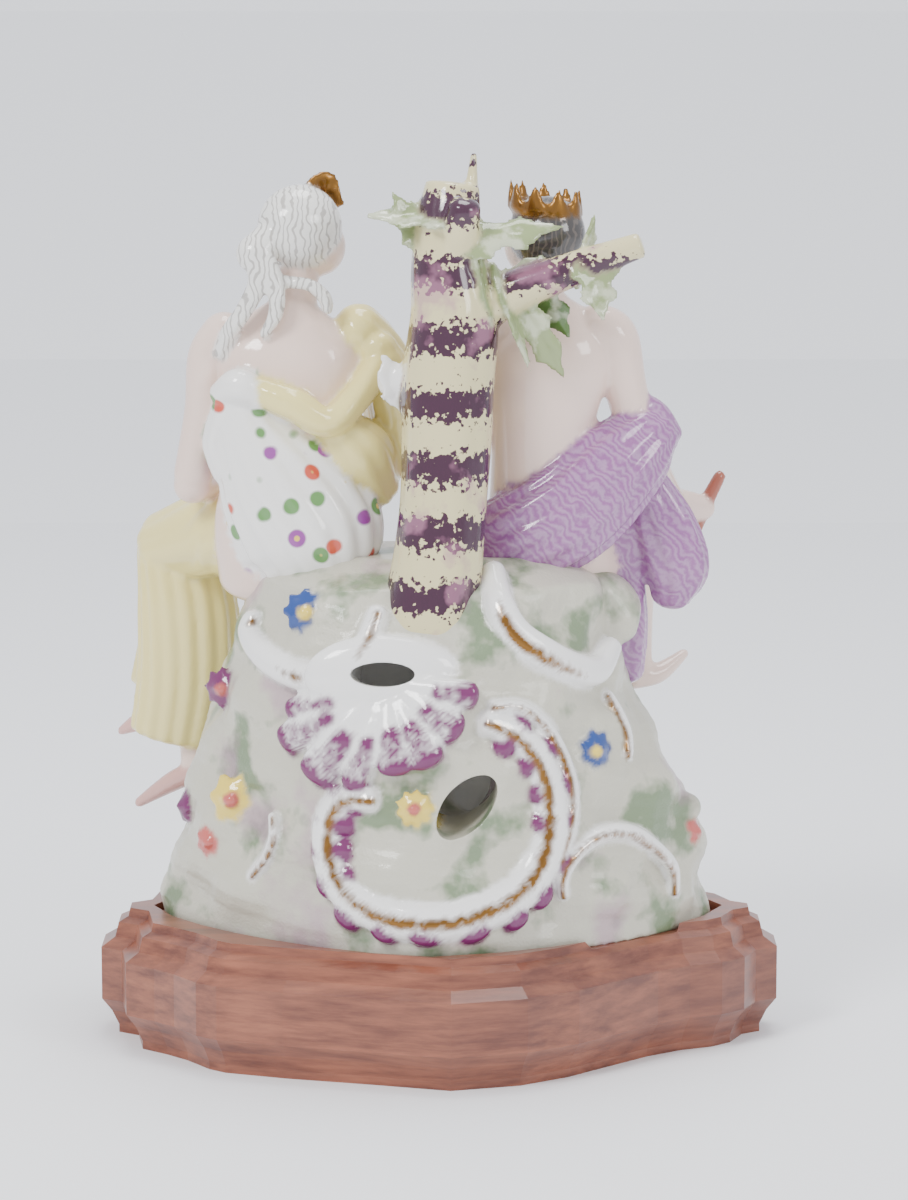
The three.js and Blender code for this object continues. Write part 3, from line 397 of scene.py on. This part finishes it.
def tree():
    """The broken trunk with its stub and branch, the small broken fragment, and the lobed leaves."""
    trunk = [[-4.5, -36, 138, 20, 16], [-3.5, -35, 147, 16.5, 15], [-0.5, -33, 166, 14.8, 14.4],
             [1.5, -31, 187, 14.2], [2.5, -29, 207, 14.8], [3, -27, 226, 15.2], [5, -25, 246, 14.6],
             [3.5, -24, 262, 12.8, 13], [3, -23, 276, 11, 12], [4.5, -22, 290, 9, 8]]
    wood = [
        (BARK, limb(trunk, around=96, rings=120, folds=(6, 0.03, 0, 3), cap=0.15)),
        (BARK, limb([[10.5, -21, 286, 2.6, 4], [11.5, -20.5, 300, 1, 2.4]], cap=0.3)),
        (BARK, limb([[5, -28, 266, 6.5], [7, -33, 275, 6.2], [8.5, -36, 284, 5.2]], cap=0.5)),
        (BARK, limb([[10, -24, 244, 8, 7], [22, -25, 254, 7], [43, -27, 262.5, 6, 5.8], [66, -30, 271, 4.2]],
                    side=(0, 1, 0), cap=0.15)),
        (GLAZE, limb([[-10, -26, 226, 4, 3], [-18, -22, 226, 5, 2.4]], side=(0, 0, 1))),
        (GLAZE, leaf([-12, -25, 218], [-19, -24, 236], [0.3, -1, 0], 6.5, 2)),
    ]
    return wood + [(paint, leaf(*shape)) for paint, *shape in LEAVES]


# Each scroll: its line as x and z on the mound, half-width, half-height and lift.
SCROLLS = [
    ([[-62, 146], [-63, 141], [-58, 135.5], [-49, 131.5], [-40, 131], [-31, 135], [-24, 142],
      [-20, 152]], 5, 4.5, 1),
    ([[18, 163], [20, 154], [25, 145], [34, 138], [44, 132], [52, 130], [57, 135]], 6, 4.5, 1),
    ([[-22, 93], [-31, 92], [-36, 84], [-35, 70], [-28, 60], [-17, 55], [-4, 53.5], [9, 55], [22, 59.5],
      [31, 67], [36, 79], [36, 92], [32, 105], [24, 114], [16, 118]], 6.5, 4, 0.5),
    ([[18, 123], [27, 122], [35, 115], [41, 104], [44, 93], [43.5, 82], [40, 71]], 2.4, 3.6, 0.8),
    ([[41, 59], [41, 66], [46, 73.5], [54, 77.5], [63, 76.5], [71, 70.5], [78, 62], [79, 53]], 3, 3.6, 0.8),
    ([[-55, 84], [-54.5, 77], [-57, 70], [-62, 63]], 2, 2.6, 0.4),
    ([[56, 121], [59, 115], [62, 108], [63, 101]], 2.6, 3, 0.6),
]
SHELL_BOSS = ([-18, -52, 132], [26, 7, 14])
# Lobes start at a heart and end at a tip. Each tip: x and z on the mound, and half-width.
SHELL_HEART = (-16, 130)
SHELL_TIPS = [[-49, 120, 4], [-51, 109, 6], [-41, 98.5, 7.5], [-28, 97, 5], [-14, 103, 6.5], [-3, 106, 6.5],
              [6, 116, 6], [11.5, 127, 5]]
BOTTOM_HEART = (0, 83)
BOTTOM_LOBES = [[-35, 93, 4.5], [-40, 84, 4.5], [-41, 73, 5], [-39, 62, 5], [-32, 51.5, 5.5], [-19, 47.5, 5],
                [-5, 47, 6], [12, 47.5, 6], [27, 51, 5], [36, 58, 5], [43, 69, 4.5], [44, 84, 4.5],
                [43, 97, 4.5], [37, 109, 4.5], [28, 118, 4.5]]
# How a lobe runs: shares of the way from its heart to its tip, lifts, shares of its width, half-heights.
SHELL_RIB = ([0.25, 0.6, 0.88], [0, 2, 2], [0.7, 0.95, 1], [3, 3.6, 4])
SHELL_PURPLE = ([0.56, 0.95], [2.8, 2.8], [0.6, 1], [3.2, 3.6])
FRILL_PURPLE = ([0.74, 0.94], [0, 1], [0.8, 1], [3, 3.6])
PURPLE_SHARE = 0.92
GOLD_SHARE, GOLD_WIDEST, GOLD_HALF_HEIGHT, GOLD_SEAT = 0.34, 1.7, 1.5, 0.78


def lobe(x, z, wide, heart, steps):
    """One lobe of a shell or frill, from near its heart to its tip, widening as it goes."""
    hx, hz = heart
    stations = [[*on_mound(hx + (x - hx) * t, hz + (z - hz) * t, lift), wide * grow, high]
                for t, lift, grow, high in zip(*steps)]
    return limb(stations, side=(z - hz, 0, hx - x), around=24, rings=16, cap=0.9)


def rocaille():
    """The glazed scrolls, each with a gold line along its crest, the shell and the frill of purple lobes."""
    out = [(GLAZE, egg(*SHELL_BOSS))]
    out += [(GLAZE, lobe(x, z, wide, SHELL_HEART, SHELL_RIB)) for x, z, wide in SHELL_TIPS]
    out += [(PURPLE, lobe(x, z, wide * PURPLE_SHARE, SHELL_HEART, SHELL_PURPLE)) for x, z, wide in SHELL_TIPS]
    out += [(PURPLE, lobe(x, z, wide, BOTTOM_HEART, FRILL_PURPLE)) for x, z, wide in BOTTOM_LOBES]
    for line, wide, high, lift in SCROLLS:
        out.append((GLAZE, band(line, wide, high, lift)))
        gold_wide = min(wide * GOLD_SHARE, GOLD_WIDEST)
        out.append((GOLD, band(line, gold_wide, GOLD_HALF_HEIGHT, lift + high * GOLD_SEAT)))
    return out


FLOWER_LIFT, BUTTON_SEAT, BUTTON_SHARE = 0.8, 0.42, 0.26
# Each flower: x and z on the mound, radius, petals, and for the scroll side the way it looks, then paint.
SCROLL_SIDE_FLOWERS = [
    (-44, 151, 8, 8, (-0.1, -1, 0.25), BLUE), (-73, 121, 7.3, 8, (-0.6, -1, 0.1), PURPLE),
    (-69, 87, 9, 6, (-0.5, -1, 0.1), YELLOW_PETAL), (-77, 71, 5.6, 7, (-0.6, -1, 0), RED_PETAL),
    (-8, 91, 6.6, 9, (0, -1, 0.1), YELLOW_PETAL), (52, 105, 6.5, 7, (0.8, -1, 0.1), BLUE),
]
FIGURE_SIDE_FLOWERS = [
    (-20, 128, 7, 7, BLUE), (2, 96, 8, 8, YELLOW_PETAL), (-48, 72, 6.5, 6, RED_PETAL), (58, 78, 7, 7, BLUE),
]


def applied_flowers():
    """The applied flowers of both sides of the mound and its two ends. Those of the scroll side have
    a small egg for a button, yellow on blue petals and red on the others."""
    out = []
    for x, z, radius, petals, way, paint in SCROLL_SIDE_FLOWERS:
        out.append((paint, flower(on_mound(x, z, FLOWER_LIFT), way, radius, petals)))
    for x, z, radius, _, _, paint in SCROLL_SIDE_FLOWERS:
        button = egg(on_mound(x, z, FLOWER_LIFT + BUTTON_SEAT * radius), [radius * BUTTON_SHARE] * 3)
        out.append((YELLOW_PETAL if paint == BLUE else RED_PETAL, button))
    for x, z, radius, petals, paint in FIGURE_SIDE_FLOWERS:
        way = (x / MOUND_HALF_LENGTH, 1, 0.1)
        out.append((paint, flower(on_mound(x, z, FLOWER_LIFT, 1), way, radius, petals)))
    out.append((PURPLE, flower([-86, -6, 79], (-1, -0.25, 0.1), 6, 8)))
    out.append((RED_PETAL, flower([86, -6, 70], (1, -0.3, 0.1), 6, 5)))
    return out


def figure_side():
    """The plainer side: two scrolls and the rocks at the sides."""
    return [
        (GLAZE, band([[-46, 104], [-40, 92], [-26, 86], [-12, 92], [-6, 106]], 4, 4, 0.8, 1)),
        (GLAZE, band([[10, 62], [22, 72], [38, 74], [52, 64], [56, 52]], 4, 4, 0.8, 1)),
        (ROCK, limb([[70, -6, 82, 10, 8], [84, -4, 78, 5, 5]], side=(0, 1, 0))),
        (ROCK, limb([[46, 2, 148, 13, 14], [56, -2, 150, 8, 12], [57, -6, 140, 6, 10]], side=(0, 0, 1))),
    ]


def hollows():
    """The tunnels of the two openings and the chamber that joins them."""
    return [
        limb([[-19, -84, 134, 10.5, 4.2], [-18, -55, 133.5, 10.5, 4.2], [-15, -36, 130, 11, 8]]),
        limb([[9.5, -86, 91, 12.5, 7.4], [9, -60, 91, 12.5, 7.4], [6, -38, 94, 12, 10]],
             side=(0.68, 0, 0.73)),
        limb([[-14, -34, 128, 12], [5, -35, 95, 13]]),
    ]


def mesh_object(name, verts, faces):
    """A mesh object at the origin, its vertices given in millimetres."""
    mesh = bpy.data.meshes.new(name)
    mesh.from_pydata((verts * MM).tolist(), [], faces.tolist())
    thing = bpy.data.objects.new(name, mesh)
    bpy.context.scene.collection.objects.link(thing)
    return thing


def join_forms(forms):
    """All the forms' vertices and faces in one pair of arrays."""
    verts, faces, start = [], [], 0
    for v, f in forms:
        verts.append(v)
        faces.append(f + start)
        start += len(v)
    return np.concatenate(verts), np.concatenate(faces)


def cast(name, painted, smooth, cuts=()):
    """One skin round overlapping forms by a voxel remesh, its cuts taken out, each vertex painted as its
    nearest form. Short smoothing rounds the joins as a glaze does."""
    thing = mesh_object(name, *join_forms([form for _, form in painted]))
    bpy.context.view_layer.objects.active = thing
    remesh = thing.modifiers.new("skin", "REMESH")
    remesh.mode = "VOXEL"
    remesh.voxel_size = SKIN_GRID * MM
    rounding = thing.modifiers.new("glaze", "SMOOTH")
    rounding.factor = ROUNDING
    rounding.iterations = smooth
    if cuts:
        cutter = mesh_object(name + "_cut", *join_forms(cuts))
        carve = thing.modifiers.new("openings", "BOOLEAN")
        carve.operation = "DIFFERENCE"
        carve.solver = "EXACT"
        carve.use_self = True
        carve.object = cutter
    done = bpy.data.meshes.new_from_object(thing.evaluated_get(bpy.context.evaluated_depsgraph_get()))
    thing.modifiers.clear()
    thing.data = done
    if cuts:
        bpy.data.objects.remove(cutter)
    colour_vertices(thing, painted)
    done.polygons.foreach_set("use_smooth", np.ones(len(done.polygons), bool))
    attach(thing, BODY)
    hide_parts(GROUP)
    return thing


def soften(mesh, values):
    """Values at the vertices, each made the mean of itself and its neighbours along the edges."""
    pairs = np.empty(len(mesh.edges) * 2, np.int32)
    mesh.edges.foreach_get("vertices", pairs)
    a, b = pairs[::2], pairs[1::2]
    count = np.bincount(pairs, minlength=len(values))[:, None] + 1
    total = values.astype(float)
    np.add.at(total, a, values[b])
    np.add.at(total, b, values[a])
    return total / count


def colour_vertices(thing, painted):
    """Gives each vertex the colour of the form whose surface point is nearest to it, as the attribute
    paint, and a mask for each finish, all softened once along the edges."""
    sizes = [len(form[0]) for _, form in painted]
    paint = np.repeat([p for p, _ in painted], sizes)
    points = np.concatenate([form[0] for _, form in painted]) * MM
    tree_of_points = KDTree(len(points))
    for i, p in enumerate(points):
        tree_of_points.insert(p, i)
    tree_of_points.balance()
    mesh = thing.data
    found = paint[[tree_of_points.find(v.co)[1] for v in mesh.vertices]]
    table = np.array([PAINTS[k] + (1.0,) for k in range(len(PAINTS))])
    colour = mesh.attributes.new("paint", "FLOAT_COLOR", "POINT")
    colour.data.foreach_set("color", soften(mesh, table[found]).astype(np.float32).ravel())
    for name, kinds in MASKS.items():
        share = soften(mesh, np.isin(found, kinds)[:, None])
        mask = mesh.attributes.new(name, "FLOAT", "POINT")
        mask.data.foreach_set("value", share.astype(np.float32).ravel())


class Nodes:
    """Short names for adding shader nodes and links to one material."""

    def __init__(self, name):
        self.material = bpy.data.materials.new(name)
        self.material.use_nodes = True
        self.tree = self.material.node_tree
        self.shader = self.tree.nodes["Principled BSDF"]

    def add(self, kind, **values):
        """A new node. Each value goes to the input of that name, or else to the node's own setting."""
        node = self.tree.nodes.new(kind)
        for key, value in values.items():
            if key in node.inputs:
                node.inputs[key].default_value = value
            else:
                setattr(node, key, value)
        return node

    def link(self, out, into):
        """Joins an output to an input."""
        self.tree.links.new(out, into)

    def read(self, name):
        """The piece's own attribute of that name, as one number."""
        return self.add("ShaderNodeAttribute", attribute_name=name).outputs["Fac"]

    def math(self, how, a, b=0.0):
        """One operation on two values, each a number or an output."""
        node = self.add("ShaderNodeMath", operation=how)
        for socket, value in zip(node.inputs, (a, b)):
            if isinstance(value, (int, float)):
                socket.default_value = value
            else:
                self.link(value, socket)
        return node.outputs[0]

    def ramp(self, value, low, high):
        """0 at low and 1 at high, straight between them and held beyond."""
        node = self.add("ShaderNodeMapRange", **{"From Min": low, "From Max": high})
        self.link(value, node.inputs["Value"])
        return node.outputs["Result"]

    def mix(self, share, one, two):
        """One colour towards another by share."""
        node = self.add("ShaderNodeMix", data_type="RGBA")
        for socket, value in zip((node.inputs["Factor"], node.inputs[6], node.inputs[7]), (share, one, two)):
            if isinstance(value, tuple):
                socket.default_value = (*value, 1)
            elif isinstance(value, (int, float)):
                socket.default_value = value
            else:
                self.link(value, socket)
        return node.outputs[2]

    def within(self, pattern, mask, strength=1.0):
        """The pattern times its strength, kept to where the mask is."""
        return self.math("MULTIPLY", pattern, self.math("MULTIPLY", self.read(mask), strength))

    def noise(self, place, scale, detail=4.0):
        """Soft clouds of that scale."""
        node = self.add("ShaderNodeTexNoise", Scale=scale, Detail=detail)
        self.link(place, node.inputs["Vector"])
        return node.outputs["Fac"]

    def bands(self, place, direction, values):
        """Wavy bands, one after another along a direction."""
        node = self.add("ShaderNodeTexWave", wave_type="BANDS", bands_direction=direction, **values)
        self.link(place, node.inputs["Vector"])
        return node.outputs["Fac"]


# Each cloud of colour: mask, colour, scale, where it begins and is full, and strength.
GREEN_SPONGE = ("rock", (0.06, 0.15, 0.04), 45, 0.52, 0.62, 0.75)
MAUVE_SPONGE = ("rock", (0.42, 0.22, 0.34), 31, 0.56, 0.66, 0.5)
PINK_WASH = ("bark", (0.42, 0.18, 0.28), 60, 0.56, 0.64, 0.55)
PALE_LEAF = ("foliage", (0.70, 0.72, 0.56), 120, 0.5, 0.6, 0.6)

BARK_WAVE = {"Scale": 15.0, "Distortion": 3.2, "Detail": 3.0, "Detail Scale": 30.0}
BARK_STROKE, BARK_EDGE = (0.045, 0.010, 0.030), (0.50, 0.62)
HAIR_WAVE = {"Scale": 150.0, "Distortion": 9.0}
HAIR_STRAND, STRAND_EDGE, STRAND_STRENGTH = (0.16, 0.13, 0.11), (0.72, 0.9), 0.55
BRUSH_WAVE = {"Scale": 150.0, "Distortion": 14.0, "Detail": 4.0}
PALE_LILAC, BRUSH_STRENGTH = (0.66, 0.54, 0.66), 0.28

DOT_SCALE, DOT_EDGE, HEART_EDGE = 105.0, (0.36, 0.28), (0.12, 0.08)
DOT_VIOLET, DOT_RED, DOT_GREEN = (0.30, 0.06, 0.32), (0.62, 0.09, 0.05), (0.12, 0.28, 0.08)
DOT_HEART = (0.78, 0.55, 0.12)
RED_FROM, GREEN_FROM, SHOWN_FROM = (0.32, 0.34), (0.66, 0.68), (0.35, 0.36)

GILT_METAL, GILT_ROUGHNESS, ROCK_ROUGHNESS = 0.85, 0.18, 0.25
GRAIN_SCALE, GRAIN_ROUGHNESS, GLAZE_ROUGHNESS = 900, 0.05, 0.10
GLAZE_COAT, GLAZE_COAT_ROUGHNESS = 0.35, 0.06
ROCK_GRAIN_SCALES, SMOOTH_RELIEF = (420, 1100), 0.05


def clouded(n, place, colour, cloud):
    """A second colour over the first in soft clouds."""
    mask, shade, scale, low, high, strength = cloud
    return n.mix(n.within(n.ramp(n.noise(place, scale), low, high), mask, strength), colour, shade)


def bark_bands(n, place, colour):
    """Dark brushed bands, one above another up the bark."""
    return n.mix(n.within(n.ramp(n.bands(place, "Z", BARK_WAVE), *BARK_EDGE), "bark"), colour, BARK_STROKE)


def hair_strands(n, place, colour):
    """Thin wavy strands on the hair."""
    strands = n.ramp(n.bands(place, "X", HAIR_WAVE), *STRAND_EDGE)
    return n.mix(n.within(strands, "hair", STRAND_STRENGTH), colour, HAIR_STRAND)


def brushed_lilac(n, place, colour):
    """Paler wavy brush marks on the lilac cloth."""
    streak = n.math("MULTIPLY", n.bands(place, "DIAGONAL", BRUSH_WAVE), BRUSH_STRENGTH)
    return n.mix(n.within(streak, "lilac"), colour, PALE_LILAC)


def scattered_dots(n, place, colour):
    """Round dots on the white cloth, at the points of a Voronoi pattern. The cell's red share chooses
    violet, red or green, a low green share leaves the dot out, and each point has a yellow heart."""
    cells = n.add("ShaderNodeTexVoronoi", Scale=DOT_SCALE)
    n.link(place, cells.inputs["Vector"])
    distance = cells.outputs["Distance"]
    dots = n.within(n.ramp(distance, *DOT_EDGE), "flowered")
    share = n.add("ShaderNodeSeparateColor")
    n.link(cells.outputs["Color"], share.inputs["Color"])
    chosen = n.mix(n.ramp(share.outputs["Red"], *RED_FROM), DOT_VIOLET, DOT_RED)
    chosen = n.mix(n.ramp(share.outputs["Red"], *GREEN_FROM), chosen, DOT_GREEN)
    shown = n.math("MULTIPLY", dots, n.ramp(share.outputs["Green"], *SHOWN_FROM))
    colour = n.mix(shown, colour, chosen)
    return n.mix(n.within(n.ramp(distance, *HEART_EDGE), "flowered"), colour, DOT_HEART)


def porcelain_material():
    """Glazed porcelain: the vertex paints, with sponged rock, bands on the bark, dots on the white
    cloth, strands, brush marks and pale leaf patches. Rock and gilt are rougher than the glaze."""
    n = Nodes("painted_porcelain")
    place = n.add("ShaderNodeTexCoord").outputs["Object"]
    colour = n.add("ShaderNodeAttribute", attribute_name="paint").outputs["Color"]
    colour = clouded(n, place, colour, GREEN_SPONGE)
    colour = clouded(n, place, colour, MAUVE_SPONGE)
    colour = bark_bands(n, place, colour)
    colour = clouded(n, place, colour, PINK_WASH)
    colour = scattered_dots(n, place, colour)
    colour = hair_strands(n, place, colour)
    colour = brushed_lilac(n, place, colour)
    colour = clouded(n, place, colour, PALE_LEAF)
    n.link(colour, n.shader.inputs["Base Color"])
    n.link(n.math("MULTIPLY", n.read("gilt"), GILT_METAL), n.shader.inputs["Metallic"])
    rock_share = n.math("MULTIPLY", n.read("rock"), ROCK_ROUGHNESS)
    rough = n.math("ADD", rock_share, n.math("MULTIPLY", n.read("gilt"), GILT_ROUGHNESS))
    grain = n.math("MULTIPLY", n.noise(place, GRAIN_SCALE), GRAIN_ROUGHNESS)
    n.link(n.math("ADD", rough, n.math("ADD", grain, GLAZE_ROUGHNESS)), n.shader.inputs["Roughness"])
    n.shader.inputs["Coat Weight"].default_value = GLAZE_COAT
    n.shader.inputs["Coat Roughness"].default_value = GLAZE_COAT_ROUGHNESS
    bump = n.add("ShaderNodeBump", Strength=0.35, Distance=0.0006)
    coarse, fine = [n.noise(place, scale) for scale in ROCK_GRAIN_SCALES]
    relief = n.math("MULTIPLY", n.math("ADD", coarse, fine), n.math("ADD", n.read("rock"), SMOOTH_RELIEF))
    n.link(relief, bump.inputs["Height"])
    n.link(bump.outputs["Normal"], n.shader.inputs["Normal"])
    return n.material


GRAIN_STRETCH = (6.0, 60.0, 160.0)
WOOD_DARK, WOOD_LIGHT, WOOD_PATCH = (0.12, 0.032, 0.018), (0.32, 0.105, 0.055), (0.12, 0.04, 0.028)
GRAIN_EDGE, PATCH_EDGE, PATCH_STRENGTH = (0.35, 0.68), (0.5, 0.7), 0.45
WOOD_ROUGHNESS, WOOD_GRAIN_ROUGHNESS = 0.24, 0.2
WAX_COAT, WAX_COAT_ROUGHNESS = 0.25, 0.2


def wood_material():
    """Satin reddish-brown wood: long grain stretched along X and darker patches. The grain also
    varies the roughness and gives a low relief."""
    n = Nodes("satin_red_brown_wood")
    place = n.add("ShaderNodeTexCoord").outputs["Object"]
    stretch = n.add("ShaderNodeMapping")
    stretch.inputs["Scale"].default_value = GRAIN_STRETCH
    n.link(place, stretch.inputs["Vector"])
    grain = n.add("ShaderNodeTexNoise", Scale=1.6, Detail=8.0, Roughness=0.65)
    n.link(stretch.outputs["Vector"], grain.inputs["Vector"])
    patch = n.noise(place, 14.0, 3.0)
    colour = n.mix(n.ramp(grain.outputs["Fac"], *GRAIN_EDGE), WOOD_DARK, WOOD_LIGHT)
    colour = n.mix(n.math("MULTIPLY", n.ramp(patch, *PATCH_EDGE), PATCH_STRENGTH), colour, WOOD_PATCH)
    n.link(colour, n.shader.inputs["Base Color"])
    varied = n.math("MULTIPLY", grain.outputs["Fac"], WOOD_GRAIN_ROUGHNESS)
    n.link(n.math("ADD", varied, WOOD_ROUGHNESS), n.shader.inputs["Roughness"])
    n.shader.inputs["Coat Weight"].default_value = WAX_COAT
    n.shader.inputs["Coat Roughness"].default_value = WAX_COAT_ROUGHNESS
    bump = n.add("ShaderNodeBump", Strength=0.2, Distance=0.0003)
    n.link(grain.outputs["Fac"], bump.inputs["Height"])
    n.link(bump.outputs["Normal"], n.shader.inputs["Normal"])
    return n.material


# The floor's line from front to back as y and z, and the lamps: name, place, size and power.
FLOOR_LINE = [(-3, 0), (1.2, 0), (1.6, 0.06), (1.9, 0.3), (2.0, 0.7), (2.0, 3.5)]
FLOOR_HALF_LENGTH = 4
FLOOR_COLOUR, FLOOR_ROUGHNESS = (0.90, 0.91, 0.93, 1), 0.7
LAMPS = [
    ("key", (-0.9, -1.0, 1.3), 0.5, 22),
    ("fill", (1.1, -0.9, 0.8), 0.5, 8),
    ("top", (0.1, 0.3, 1.6), 0.7, 14),
]
LIT_POINT = (0, 0, 0.15)
ROOM_COLOUR, ROOM_STRENGTH = (0.92, 0.94, 1.0, 1), 1.15
CAMERA_PLACE, CAMERA_TILT = (0.005, -1.400, 0.3793), 80.646
SENSOR_SIZE, FOCAL_LENGTH = 36, 126


def floor_sheet():
    """A pale floor that curves up behind, its line drawn out along X."""
    mesh = bpy.data.meshes.new("floor")
    verts = [(x, y, z) for y, z in FLOOR_LINE for x in (-FLOOR_HALF_LENGTH, FLOOR_HALF_LENGTH)]
    faces = [(2 * i, 2 * i + 1, 2 * i + 3, 2 * i + 2) for i in range(len(FLOOR_LINE) - 1)]
    mesh.from_pydata(verts, [], faces)
    floor = bpy.data.objects.new("floor", mesh)
    bpy.context.scene.collection.objects.link(floor)
    pale = Nodes("pale_floor")
    pale.shader.inputs["Base Color"].default_value = FLOOR_COLOUR
    pale.shader.inputs["Roughness"].default_value = FLOOR_ROUGHNESS
    mesh.materials.append(pale.material)


def studio():
    """The floor, three soft lights, an even room and the camera at the photograph's angle."""
    floor_sheet()
    for name, place, size, power in LAMPS:
        light = bpy.data.lights.new(name, "AREA")
        light.size = size
        light.energy = power
        lamp = bpy.data.objects.new(name, light)
        lamp.location = place
        lamp.rotation_euler = (Vector(LIT_POINT) - Vector(place)).to_track_quat("-Z", "Y").to_euler()
        bpy.context.scene.collection.objects.link(lamp)
    world = bpy.data.worlds.new("soft_room")
    world.use_nodes = True
    world.node_tree.nodes["Background"].inputs["Color"].default_value = ROOM_COLOUR
    world.node_tree.nodes["Background"].inputs["Strength"].default_value = ROOM_STRENGTH
    bpy.context.scene.world = world
    lens = bpy.data.cameras.new("camera")
    lens.sensor_fit = "AUTO"
    lens.sensor_height = SENSOR_SIZE
    lens.sensor_width = SENSOR_SIZE
    lens.lens = FOCAL_LENGTH
    camera = bpy.data.objects.new("camera", lens)
    camera.location = CAMERA_PLACE
    camera.rotation_euler = (math.radians(CAMERA_TILT), 0, 0)
    bpy.context.scene.collection.objects.link(camera)
    bpy.context.scene.camera = camera


studio()
PORCELAIN = porcelain_material()
pieces = [
    cast("base_rockwork", [(ROCK, mound())] + rocaille() + applied_flowers() + figure_side(),
         smooth=1, cuts=hollows()),
    cast("woman_figure", woman(), smooth=2),
    cast("man_figure", man(), smooth=2),
    cast("tree_and_leaves", tree(), smooth=1),
]
for piece in pieces:
    piece.data.materials.clear()
    piece.data.materials.append(PORCELAIN)
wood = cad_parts[PLINTH]
wood.data.materials.clear()
wood.data.materials.append(wood_material())
